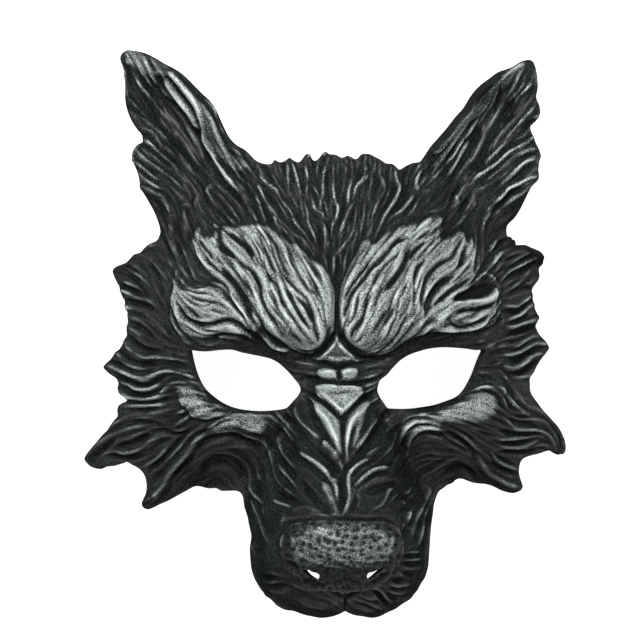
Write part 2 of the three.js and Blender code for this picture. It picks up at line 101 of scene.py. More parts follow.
# Sections of the muzzle from the lip to the bridge
muzzleSections = columns("y crown half foot power", [
    [-1.1, 1, 0.99, 0.63, 3.2],
    [-0.995, 1, 0.99, 0.59, 3.2],
    [-0.81, 1, 0.99, 0.46, 3.3],
    [-0.715, 0.99, 1, 0.365, 3.3],
    [-0.645, 0.95, 1.01, 0.275, 3.2],
    [-0.575, 0.895, 0.985, 0.205, 3],
    [-0.445, 0.79, 0.86, 0.255, 2.7],
    [-0.315, 0.69, 0.66, 0.33, 2.5],
    [-0.175, 0.613, 0.5, 0.39, 2.3],
    [-0.07, 0.585, 0.41, 0.41, 2.2],
    [0.045, 0.43, 0.33, 0.22, 2.2],
    [0.175, 0.2, 0.28, 0, 2.2],
])


def smoothStep(low, high, value):
    t = np.clip((value - low) / (high - low), 0, 1)
    return t * t * (3 - 2 * t)


def smoothMax(a, b, r):
    share = np.clip(0.5 + 0.5 * (a - b) / r, 0, 1)
    return b + (a - b) * share + r * share * (1 - share)


# A column of a table of sections at height y, on a monotone cubic through the rows
def columnAt(rows, key, y):
    ys, values = rows["y"], rows[key]
    grades = np.diff(values) / np.diff(ys)
    below, above = grades[:-1], grades[1:]
    both = np.where(below * above > 0, below * above, 0)
    inner = 2 * both / np.where(both > 0, below + above, 1)
    slopes = np.concatenate([[grades[0]], inner, [grades[-1]]])
    i = np.clip(np.searchsorted(ys, y) - 1, 0, len(ys) - 2)
    span = ys[i + 1] - ys[i]
    t = np.clip((y - ys[i]) / span, -0.2, 1.2)
    startWeight = (2 * t - 3) * t * t + 1
    bend = span * t * (t - 1) * (slopes[i] * (t - 1) + slopes[i + 1] * t)
    return values[i] * startWeight + values[i + 1] * (1 - startWeight) + bend


# A round rise that fades to nothing
def swelling(u, v, x, y, wide, high, turn=0.0):
    across, up = (u - x) * halfWidth, (v - y) * halfHeight
    c, s = math.cos(turn), math.sin(turn)
    along = (across * c + up * s) / (wide * halfWidth)
    over = (up * c - across * s) / (high * halfHeight)
    return np.exp(-along * along - over * over)


# The ear, as shares of the half width and half height; pairs say where something fades in or out
earShape = {
    "lean": 0.577,  # radians from the vertical
    "x": 0.51, "y": 0.576,
    "rimAcross": -0.13, "rimHalf": 0.044, "rimLean": 0.11,
    "rimStart": (-0.12, 0.07), "rimEnd": (0.3, 0.47),
    "cupAcross": -0.01, "cupHalf": 0.095,
    "cupStart": (-0.12, 0.035), "cupEnd": (0.23, 0.42),
    "fallUp": 0.44, "fallOut": 0.33, "fallFrom": 0.49,
    "rootUp": (-0.14, 0.09), "rootOut": (0.14, 0.335),
}


def earAt(u, v):
    e = earShape
    c, s = math.cos(e["lean"]), math.sin(e["lean"])
    across, up = (u - e["x"]) * halfWidth, (v - e["y"]) * halfHeight
    along = (across * s + up * c) / halfHeight
    side = (across * c - up * s) / halfWidth
    rimPlace = (side - e["rimAcross"] - e["rimLean"] * along) / e["rimHalf"]
    cupPlace = (side - e["cupAcross"]) / e["cupHalf"]
    helix = np.exp(-rimPlace * rimPlace) * smoothStep(*e["rimStart"], along)
    cup = np.exp(-cupPlace * cupPlace) * smoothStep(*e["cupStart"], along)
    height = maskSizes["earRise"] * (1 - e["fallUp"] * (v - e["y"]) - e["fallOut"] * (u - e["fallFrom"]))
    height = height + maskSizes["helixHeight"] * helix * (1 - smoothStep(*e["rimEnd"], along))
    height = height - maskSizes["cupDepth"] * cup * (1 - smoothStep(*e["cupEnd"], along))
    return height, smoothStep(*e["rootUp"], along) * smoothStep(*e["rootOut"], u)


muzzleEnd = {"y": -0.7, "reach": 0.305, "power": 2.5}
muzzleFall = (-0.645, -0.525)  # between these heights the sides get steeper

faceShape = {
    "power": 2.4,  # how square the face is across
    "rimBlend": 0.13,
    "muzzleBlend": 0.08,
    "middleFade": (0.26, 0.52),  # the middle line runs straight again above the brows
}
browShape = {
    "ledge": -0.083, "ledgeBend": 0.2, "ledgeRise": 0.08,
    "fade": (0.14, 0.33), "centre": 0.325, "half": 0.305,
}
# Swellings and hollows of the face: centre, half width and height, and turn in radians
eyeSocket = {"x": 0.375, "y": -0.19, "wide": 0.266, "high": 0.114, "turn": -0.07}
cheekBone = {"x": 0.53, "y": -0.288, "wide": 0.177, "high": 0.079, "turn": 0.35}
cheekHollow = {"x": 0.443, "y": -0.54, "wide": 0.148, "high": 0.087}


# Height of the smooth form over the table
def smoothForm(x, y):
    s = maskSizes
    u, v = np.abs(x) / halfWidth, y / halfHeight
    middle = s["middle"] * (1 - smoothStep(*faceShape["middleFade"], v))
    m = np.abs(x - middle) / halfWidth
    crown = s["browDepth"] * columnAt(faceSections, "crown", v)
    rim = s["browDepth"] * columnAt(faceSections, "rim", v)
    reach = u / columnAt(faceSections, "half", v)
    dome = rim + (crown - rim) * (1 - reach ** faceShape["power"])
    face = smoothMax(dome, rim, s["browDepth"] * faceShape["rimBlend"])
    ear, share = earAt(u, v)
    face = face + (ear - face) * share
    b = browShape
    ledge = b["ledge"] + b["ledgeBend"] * m * m
    browSpan = np.exp(-(((m - b["centre"]) / b["half"]) ** 4))
    brow = smoothStep(ledge, ledge + b["ledgeRise"], v) * (1 - smoothStep(*b["fade"], v))
    face = face + s["browRise"] * browSpan * brow
    face = face - s["socketDepth"] * swelling(m, v, **eyeSocket)
    face = face + s["cheekRise"] * swelling(m, v, **cheekBone)
    face = face - s["hollowDepth"] * swelling(m, v, **cheekHollow)
    half = s["muzzleWidth"] / 2 * columnAt(muzzleSections, "half", v)
    top = s["noseDepth"] * columnAt(muzzleSections, "crown", v)
    foot = s["noseDepth"] * columnAt(muzzleSections, "foot", v)
    end = np.maximum(0, muzzleEnd["y"] - v) / muzzleEnd["reach"]
    p = muzzleEnd["power"]
    out = ((m * halfWidth / half) ** p + end ** p) ** (1 / p)
    fall = s["lipFall"] + s["cheekFall"] * smoothStep(*muzzleFall, v)
    muzzle = foot + (top - foot) * (1 - np.minimum(out, 1) ** columnAt(muzzleSections, "power", v))
    muzzle = muzzle - fall * half * np.maximum(out - 1, 0)
    return smoothMax(muzzle, face, s["browDepth"] * faceShape["muzzleBlend"])


def normalsAt(x, y, reach):
    slopeX = (smoothForm(x + reach, y) - smoothForm(x - reach, y)) / (2 * reach)
    slopeY = (smoothForm(x, y + reach) - smoothForm(x, y - reach)) / (2 * reach)
    normals = np.stack([-slopeX, -slopeY, np.ones_like(slopeX)], -1)
    return normals / np.linalg.norm(normals, axis=-1, keepdims=True)


# The camera's axes, and where the view line of each pixel of the photograph meets the table
yaw = photoView["yaw"]
viewBack = np.array([-math.sin(yaw), 0, math.cos(yaw)])
viewRight = np.array([math.cos(yaw), 0, math.sin(yaw)])
viewUp = np.array([0.0, 1.0, 0.0])
eye = np.array([photoView["aimX"], photoView["aimY"], 0]) + viewBack * photoView["distance"]
focal = photoView["distance"] / photoView["mmPerPixel"]


def viewLines(px, py):
    half = photoView["pixels"] / 2
    right, up = (px - half) / focal, (half - py) / focal
    line = -viewBack + right[..., None] * viewRight + up[..., None] * viewUp
    gradeX, gradeY = line[..., 0] / line[..., 2], line[..., 1] / line[..., 2]
    return eye[0] - eye[2] * gradeX, eye[1] - eye[2] * gradeY, gradeX, gradeY


search = {"top": 112, "bottom": -12, "levels": 90, "halvings": 14}  # heights in millimetres


# Places of the photograph laid on the smooth form: down the view line until it meets the skin
def layOnForm(px, py):
    x0, y0, gradeX, gradeY = viewLines(px, py)
    levels = np.linspace(search["top"], search["bottom"], search["levels"])
    low, high = np.full(px.shape, levels[-1]), np.full(px.shape, levels[0])
    found = np.zeros(px.shape, bool)
    for above, below in zip(levels[:-1], levels[1:]):
        under = (smoothForm(x0 + below * gradeX, y0 + below * gradeY) >= below) & ~found
        low[under], high[under] = below, above
        found |= under
    for halving in range(search["halvings"]):
        middle = (low + high) / 2
        under = smoothForm(x0 + middle * gradeX, y0 + middle * gradeY) >= middle
        low, high = np.where(under, middle, low), np.where(under, high, middle)
    z = (low + high) / 2
    return np.stack([x0 + z * gradeX, y0 + z * gradeY, z], -1)


# Pixel paths, written "x,y x,y ..."
def pathOf(text):
    return np.array([[float(n) for n in pair.split(",")] for pair in text.split()])


# A smooth curve through the points, with places a step apart
def roundPath(points, closed, step):
    if closed:
        ring = np.concatenate([points[-1:], points, points[:2]])
    else:
        ring = np.concatenate([2 * points[:1] - points[1:2], points, 2 * points[-1:] - points[-2:-1]])
    pieces = []
    for a, b, c, d in zip(ring[:-3], ring[1:-2], ring[2:-1], ring[3:]):
        t = np.linspace(0, 1, 8, endpoint=False)[:, None]
        bend = (2 * a - 5 * b + 4 * c - d) * t + (3 * b - a - 3 * c + d) * t * t
        pieces.append(b + 0.5 * t * ((c - a) + bend))
    curve = np.concatenate(pieces + ([pieces[0][:1]] if closed else [points[-1:]]))
    lengths = np.concatenate([[0], np.cumsum(np.linalg.norm(np.diff(curve, axis=0), axis=1))])
    count = max(3, round(lengths[-1] / step))
    marks = np.linspace(0, lengths[-1], count + 1)
    if closed:
        marks = marks[:-1]
    return np.stack([np.interp(marks, lengths, curve[:, k]) for k in (0, 1)], -1)


# The outline of the mask in pixels of the photograph, clockwise
outlineStretches = {
    "left ear, inner side": """
        119,58 121,53 127,49.3 134,49.8 142,51 150,54 160,60 167,64.5 175,68.5 182,73 190,80
        196,86 202,92 210,100 215,107 220,116 225,127 230,137 237,144 245,148.5 250,153 256,159""",
    "crown": """
        262,162 270,163 273,159.5 276,159 280,161 285,159.5 289,156.5 293,158.5 297,161 300,160
        304,154.5 308,152.5 311,154 314,159.5 318,157.5 322,152.5 326,151 330,153 336,153.5
        342,156.5 347,154.5 352,156 356,158 360,154 364,152.5 370,153 376,156 380,158 386,162
        393,163 398,167.5 400,168.5 405,165 412,162 420,160.5""",
    "right ear": """
        425,156.5 431,150 441,140.5 450,130.5 459,119 467,110 473,100 478,93 484,87 492,80.5
        500,73 508,68 514,64.5 521,60.5 529,58.7 534,61 536.5,67 538,78 538.8,88 537.5,97 540,105
        541,112 539,119 534,124 531.5,127 533,134 536.5,142 540,149 542,156 540,163 539.5,170
        540,177 538,182 532,188 527,198 521,210""",
    "right temple": """
        515,219 509,225 507.5,230 508.5,236 512,238 516,240 517.5,246 522,247 528,248 534,251.5
        541,255.5 544.5,261 543.5,265 540,269 540.5,276 539,281 534,288 533.5,295 535,304 537,311
        540,316 539.5,320 538,324 538.5,330 541,335 546,340 550,347 549,351""",
    "right cheek": """
        544,357 540,363 535,372 531,377 531,384 531.5,391 534,396 539,403 545,412 552,420 558,426
        562,433 565,440 566.5,447 565.5,453 562,455.5 558,454.5 553,452 547,452 540,454.5
        532,456.5 525,459 521.5,463 520,470 521,477 523,483 523.5,488 520,492 514,494 508,493.5
        500,491 492,487 485,485 477,484.5 470,483 462,480 457,480.5 453,484 448,486 444,489
        439.5,492.5""",
    "right lip": """
        437,498 435,505 434,515 432,528 431,540 430.5,550 430,560 428.5,570 426,578 422,584
        419,590 415,595 411,600 403,605 396,610 387,614 380,617.5 372,619 362,617.5 355,616.5
        349,614.5 345,613""",
    "left lip": """
        339,615.5 331,618 321,619 312,617.5 303,615.5 293,612 285,610.5 278,606.5 271,601 265,597
        261,592 256,584 252.5,577 250,568 249,557 249,547 250,536 248,526 245,512 243,502
        240.5,494.5""",
    "left cheek": """
        236,492 228,492 221,492 216,489.5 208,489.5 200,487.5 195,487.5 190,490 180,495.5 170,501
        160,505.5 152,509.5 147,510.5 142,508 140.5,503 142.5,498 145,492 145.5,484 143.5,476
        139,470 132,466 126,463 120,465 110,467.5 104,467.5 98,469.5 92,468.5 87,465 83.5,460
        85,455.5 90,450 96,442 102,434 108,428 113,420 116.5,416 116,410 118,405 122,402 126,400
        124,397.5 119,394 116.5,388 117,383 115,379 110,375.5 104.5,371 102.5,367""",
    "left temple": """
        105,363 110,358 115,351 120,346 124,338 125.5,330 126.5,322 126,314 124,305 121,297
        118,287 114,279 111.5,272 113,268 118,265 125,262 130,257 134,253.5 140,251.5 143,248
        147,244.5 152,242 156,240 158,236 159,230 157,222 153,212 148,203 142,193""",
    "left ear, outer side": """
        139,189 138.5,183 137,175 134,167 131,161 131,155 133,149 137,144 141.5,141.5 142,138
        141.5,133 137,128 132,121 128.5,114 126,107 124.5,100 124,93 124,85 123,75 122,68 120,63""",
}

openingOutlines = {
    "left eye": """
        190,351 198,352 208,352.3 220,351 232,350.8 242,353.5 252,355.5 262,357.5 270,359.5
        277,363 283,368 289,374 294,380 298,385 299.5,390 297,395.5 292,401 287,406.5 282,408.5
        273,409.5 263,409.7 252,409 240,407 230,404 221,399.5 212,393 204,386 199,379 195,371
        192,362 190,354""",
    "right eye": """
        484,351 475,351 465,349.5 452,348.5 442,348.3 430,349.5 420,352 410,355.5 401,361
        394,368 388,375 381,381 379,386 378.5,391 381,397 385,403 389,407.5 398,408 410,407.5
        422,405.8 434,403.5 445,400 455,396 463,389.5 469,382 474,374 478,365 482,356""",
    "left nostril": "304,569 309,570 315,572 319,573.5 319.5,575 318,578 314,576.5 309,573.5",
    "right nostril": "383,567 380,569 375,573 371,576 368,578 367,575 368,573 373,571 378,568.5",
}

netSizes = {
    "outerStep": 1.62,  # pixels
    "innerStep": 6.0,
    "closeUp": 0.66,  # share of the step on a steep wall
    "edgeStep": 1.5,
    "steepNormal": 0.62,  # a wall whose normal rises less than this gets more points
    "edgeInset": 1.1,  # the rounded edge stands proud of its loop by this much
    "eyeShare": 0.8,  # of the inset at an eye
    "slitShare": 0.3,  # and at a nostril
    "slitStep": 0.6,  # share of the edge step at a nostril
    "edgeGap": 0.62,  # a net stays this share of its step off the edge
    "closeGap": 0.5,
}


def signedArea(loop):
    nextOnes = np.roll(loop, -1, axis=0)
    return 0.5 * np.sum(loop[:, 0] * nextOnes[:, 1] - nextOnes[:, 0] * loop[:, 1])


def sidewaysOf(loop):
    run = np.roll(loop, -1, axis=0) - np.roll(loop, 1, axis=0)
    run /= np.linalg.norm(run, axis=1, keepdims=True)
    return np.stack([run[:, 1], -run[:, 0]], -1)


# Each loop keeps the material on its left, and steps back from it by the inset
def edgeLoop(text, step, inset, isHole):
    loop = roundPath(pathOf(text), True, step)
    if (signedArea(loop) > 0) == isHole:
        loop = loop[::-1].copy()
    return loop - sidewaysOf(loop) * inset


edgeStep = netSizes["edgeStep"]
inset = netSizes["edgeInset"]
loops = [edgeLoop(" ".join(outlineStretches.values()), edgeStep, inset, False)]
for name, text in openingOutlines.items():
    isSlit = "nostril" in name
    step = edgeStep * (netSizes["slitStep"] if isSlit else 1)
    loops.append(edgeLoop(text, step, inset * netSizes["slitShare" if isSlit else "eyeShare"], True))
edgePoints = np.concatenate(loops)
print("outline ready,", len(edgePoints), "edge points")


def insideLoop(loop, px, py):
    inside = np.zeros(px.shape, bool)
    for (ax, ay), (bx, by) in zip(loop, np.roll(loop, -1, axis=0)):
        if ay == by:
            continue
        crosses = (ay > py) != (by > py)
        inside ^= crosses & (px < (bx - ax) * (py - ay) / (by - ay) + ax)
    return inside


def onMaterial(px, py):
    inside = insideLoop(loops[0], px, py)
    for loop in loops[1:]:
        inside &= ~insideLoop(loop, px, py)
    return inside


# Signed distance to the edge on a coarse grid, from which places near the edge are found
edgeGrid = {
    "step": 1.0, "left": 70, "top": 35, "right": 580, "bottom": 630,
    "far": 60.0,  # stands for any distance past the reach
    "reach": 14,
    "sure": 3,  # nearer than this, the loops themselves are asked
}


def makeEdgeField():
    g = edgeGrid
    gridX, gridY = np.meshgrid(np.arange(g["left"], g["right"], g["step"]),
                               np.arange(g["top"], g["bottom"], g["step"]))
    inside = onMaterial(gridX, gridY)
    away = np.full(gridX.shape, g["far"])
    reach = g["reach"]
    for ex, ey in edgePoints:
        i0, j0 = int(ey - g["top"]) - reach, int(ex - g["left"]) - reach
        rows = slice(max(i0, 0), i0 + 2 * reach)
        cols = slice(max(j0, 0), j0 + 2 * reach)
        gap = np.hypot(gridX[rows, cols] - ex, gridY[rows, cols] - ey)
        away[rows, cols] = np.minimum(away[rows, cols], gap)
    return np.where(inside, away, -away)


def sampleGrid(grid, left, top, step, px, py):
    fx = np.clip((px - left) / step, 0, grid.shape[1] - 1.001)
    fy = np.clip((py - top) / step, 0, grid.shape[0] - 1.001)
    j, i = fx.astype(int), fy.astype(int)
    u, v = fx - j, fy - i
    upper = grid[i, j] * (1 - u) + grid[i, j + 1] * u
    lower = grid[i + 1, j] * (1 - u) + grid[i + 1, j + 1] * u
    return upper * (1 - v) + lower * v


edgeField = makeEdgeField()


def edgeDistance(px, py):
    return sampleGrid(edgeField, edgeGrid["left"], edgeGrid["top"], edgeGrid["step"], px, py)


# A net of equal triangles
def hexNet(step, share):
    rows = np.arange(edgeGrid["top"], edgeGrid["bottom"], step * math.sqrt(0.75) * share)
    cols = np.arange(edgeGrid["left"], edgeGrid["right"], step * share)
    px, py = np.meshgrid(cols, rows)
    px = px + (np.arange(len(rows)) % 2)[:, None] * step * share / 2
    return px.ravel(), py.ravel()


def netPlaces(step, closeUp):
    px, py = hexNet(step, 1)
    keep = edgeDistance(px, py) > netSizes["edgeGap"] * step
    places = np.stack([px[keep], py[keep]], -1)
    if closeUp:
        px, py = hexNet(step, netSizes["closeUp"])
        keep = edgeDistance(px, py) > netSizes["closeGap"] * step
        px, py = px[keep], py[keep]
        spots = layOnForm(px, py)
        normals = normalsAt(spots[:, 0], spots[:, 1], 1.0)
        steep = normals[:, 2] < netSizes["steepNormal"]
        coarse = layOnForm(places[:, 0], places[:, 1])
        flat = normalsAt(coarse[:, 0], coarse[:, 1], 1.0)[:, 2] >= netSizes["steepNormal"]
        places = np.concatenate([places[flat], np.stack([px[steep], py[steep]], -1)])
    return places


def makeSheet(step, closeUp):
    places = np.concatenate([edgePoints, netPlaces(step, closeUp)])
    sides = []
    first = 0
    for loop in loops:
        count = len(loop)
        sides += [(first + i, first + (i + 1) % count) for i in range(count)]
        first += count
    vertices, _, faces, sources, _, _ = delaunay_2d_cdt(
        [Vector(p) for p in places], sides, [], 0, 1e-7, True)
    assert len(vertices) == len(places), "a loop crosses itself"
    order = np.array([s[0] for s in sources])
    back = np.array(faces, int)
    if not np.array_equal(order, np.arange(len(order))):
        back = order[back]
    centre = places[back].mean(1)
    away = edgeDistance(centre[:, 0], centre[:, 1])
    fine = away > 0
    near = np.abs(away) < edgeGrid["sure"]
    fine[near] = onMaterial(centre[near, 0], centre[near, 1])
    back = back[fine]
    a, b, c = places[back[:, 0]], places[back[:, 1]], places[back[:, 2]]
    turn = (b[:, 0] - a[:, 0]) * (c[:, 1] - a[:, 1]) - (b[:, 1] - a[:, 1]) * (c[:, 0] - a[:, 0])
    back[turn > 0] = back[turn > 0][:, ::-1]  # pixels run downwards, so this faces the eye
    return places, back


outerPlaces, outerFaces = makeSheet(netSizes["outerStep"], True)
innerPlaces, innerFaces = makeSheet(netSizes["innerStep"], False)
print("sheets ready,", len(outerFaces), "outer and", len(innerFaces), "inner triangles")

# The relief is drawn on a canvas over the photograph's pixels, in millimetres over the smooth form
canvas = {"left": 76, "top": 42, "right": 574, "bottom": 626, "perPixel": 2}
canvasStep = 1 / canvas["perPixel"]
canvasX, canvasY = np.meshgrid(np.arange(canvas["left"], canvas["right"], canvasStep),
                               np.arange(canvas["top"], canvas["bottom"], canvasStep))

relief = {
    "crestHeight": 2.1,  # of a strand 3 pixels wide
    "grooveDepth": 2.0,
    "padRise": 1.9,  # brow pads over the skin round them
    "hairDepth": 0.3,  # the finest strands
    "taper": 9.0,  # pixels that a strand takes to rise from its end
    "endShare": 0.25,  # of a strand's height that is left at its ends
    "strokeStep": 4.5,  # pixels
    "softening": 0.45,  # pixels
}


def blurred(grid, radius):
    reach = int(3 * radius * canvas["perPixel"]) + 1
    taps = np.exp(-0.5 * (np.arange(-reach, reach + 1) / (radius * canvas["perPixel"])) ** 2)
    taps /= taps.sum()
    size = [n + 2 * reach for n in grid.shape]
    padded = np.pad(grid, reach, mode="edge")
    for axis in (0, 1):
        spectrum = np.fft.rfft(padded, axis=axis)
        kernel = np.fft.rfft(np.roll(np.pad(taps, (0, size[axis] - len(taps))), -reach))
        shape = (-1, 1) if axis == 0 else (1, -1)
        padded = np.fft.irfft(spectrum * kernel.reshape(shape), size[axis], axis=axis)
    return padded[reach:-reach, reach:-reach]


# The part of the canvas round a path
def windowOf(points, reach):
    k = canvas["perPixel"]
    j0 = int((points[:, 0].min() - reach - canvas["left"]) * k)
    j1 = int((points[:, 0].max() + reach - canvas["left"]) * k) + 1
    i0 = int((points[:, 1].min() - reach - canvas["top"]) * k)
    i1 = int((points[:, 1].max() + reach - canvas["top"]) * k) + 1
    return (slice(max(i0, 0), min(i1, canvasX.shape[0])), slice(max(j0, 0), min(j1, canvasX.shape[1])))


# Distance to a path, how far along it the nearest place lies, and its length
def alongPath(points, px, py):
    nearest = np.full(px.shape, np.inf)
    along = np.zeros(px.shape)
    start = 0.0
    for a, b in zip(points[:-1], points[1:]):
        run = b - a
        length = math.hypot(*run)
        dx, dy = px - a[0], py - a[1]
        t = np.clip((dx * run[0] + dy * run[1]) / length ** 2, 0, 1)
        gap = np.hypot(dx - t * run[0], dy - t * run[1])
        closer = gap < nearest
        nearest[closer] = gap[closer]
        along[closer] = (start + t * length)[closer]
        start += length
    return nearest, along, start


# A stroke is written as its width in pixels, its strength and its path; a line without a bar
# goes on with the stroke before it
def strokesOf(text):
    lines = []
    for line in text.strip().splitlines():
        if "|" in line:
            lines.append(line)
        else:
            lines[-1] += " " + line
    strokes = []
    for line in lines:
        numbers, path = line.split("|")
        width, strength = (float(n) for n in numbers.split())
        strokes.append((width, strength, roundPath(pathOf(path), False, relief["strokeStep"])))
    return strokes


# Heights across a strand and a groove
def strandProfile(gap, width):
    return 0.5 * np.exp(-((gap / (0.55 * width)) ** 2)) + 0.5 * np.exp(-gap / (1.1 * width))


def grooveProfile(gap, width):
    return 0.8 * np.exp(-((gap / (0.52 * width)) ** 2)) + 0.2 * np.exp(-gap / (0.9 * width))


def drawStrokes(target, strokes, profile, flow):
    for width, strength, points in strokes:
        reach = 4 * width + 3
        window = windowOf(points, reach)
        px, py = canvasX[window], canvasY[window]
        gap, along, length = alongPath(points, px, py)
        taper = min(relief["taper"], 0.45 * length)
        ends = smoothStep(-0.15 * taper, taper, along) * smoothStep(-0.15 * taper, taper, length - along)
        ends = relief["endShare"] + (1 - relief["endShare"]) * ends
        height = strength * (width / 3) ** 0.6 * ends * profile(gap, width * (0.6 + 0.4 * ends))
        height = height * (1 - smoothStep(0.75 * reach, reach, gap))
        target[window] = np.maximum(target[window], height)
        for a, b in zip(points[:-1], points[1:]):
            flow.append((*(0.5 * (a + b)), *(b - a)))


# The canvas window of a closed path, and how far each place is inside its soft edge
def patchShare(text, softness):
    points = roundPath(pathOf(text), True, max(2, 0.6 * softness))
    window = windowOf(points, softness + 2)
    px, py = canvasX[window], canvasY[window]
    inside = insideLoop(points, px, py)
    closed = np.concatenate([points, points[:1]])
    gap = alongPath(closed, px, py)[0]
    return window, smoothStep(-0.5 * softness, 0.5 * softness, np.where(inside, gap, -gap))


def drawPatch(target, text, height, softness):
    window, share = patchShare(text, softness)
    target[window] = np.maximum(target[window], height * share)


def blendPatch(target, text, value, softness):
    window, share = patchShare(text, softness)
    target[window] += (value - target[window]) * share


# Pixel paths of the brow pads, which stand over the skin round them
padOutlines = {
    "left brow": """
        224,228 240,228 254,226 270,228 281,238 292,245 303,252 312,262 322,268 330,280 335,292 335,305
        333,318 330,330 325,340 318,347 308,351 296,349 284,341 272,332 262,323 255,312 250,300 243,285
        236,272 230,262 222,250 222,240""",
    "left brow, middle lock": """
        199,229 203,236 209,239 215,237 217,231 220,245 228,258 236,270 245,286 252,300 259,314 264,322
        256,330 249,322 240,310 232,297 226,286 216,278 207,272 200,262 195,250 194,240""",
    "left brow, outer lock": """
        178,272 176,283 183,289 200,287 216,284 226,287 233,298 241,311 250,324 246,331 232,333 218,334
        204,337 192,335 183,326 177,313 174,300""",
    "right brow": """
        339,318 340,300 343,285 350,270 358,254 366,240 374,246 384,237 396,229 410,226 425,221 440,216
        441,228 438,240 450,237 461,231 465,242 471,240 474,256 472,270 470,282 463,292 452,300 470,299
        484,297 494,289 495,302 493,316 484,324 470,328 450,330 432,329 420,331 410,336 400,342 388,350
        376,353 364,352 354,345 346,335""",
}

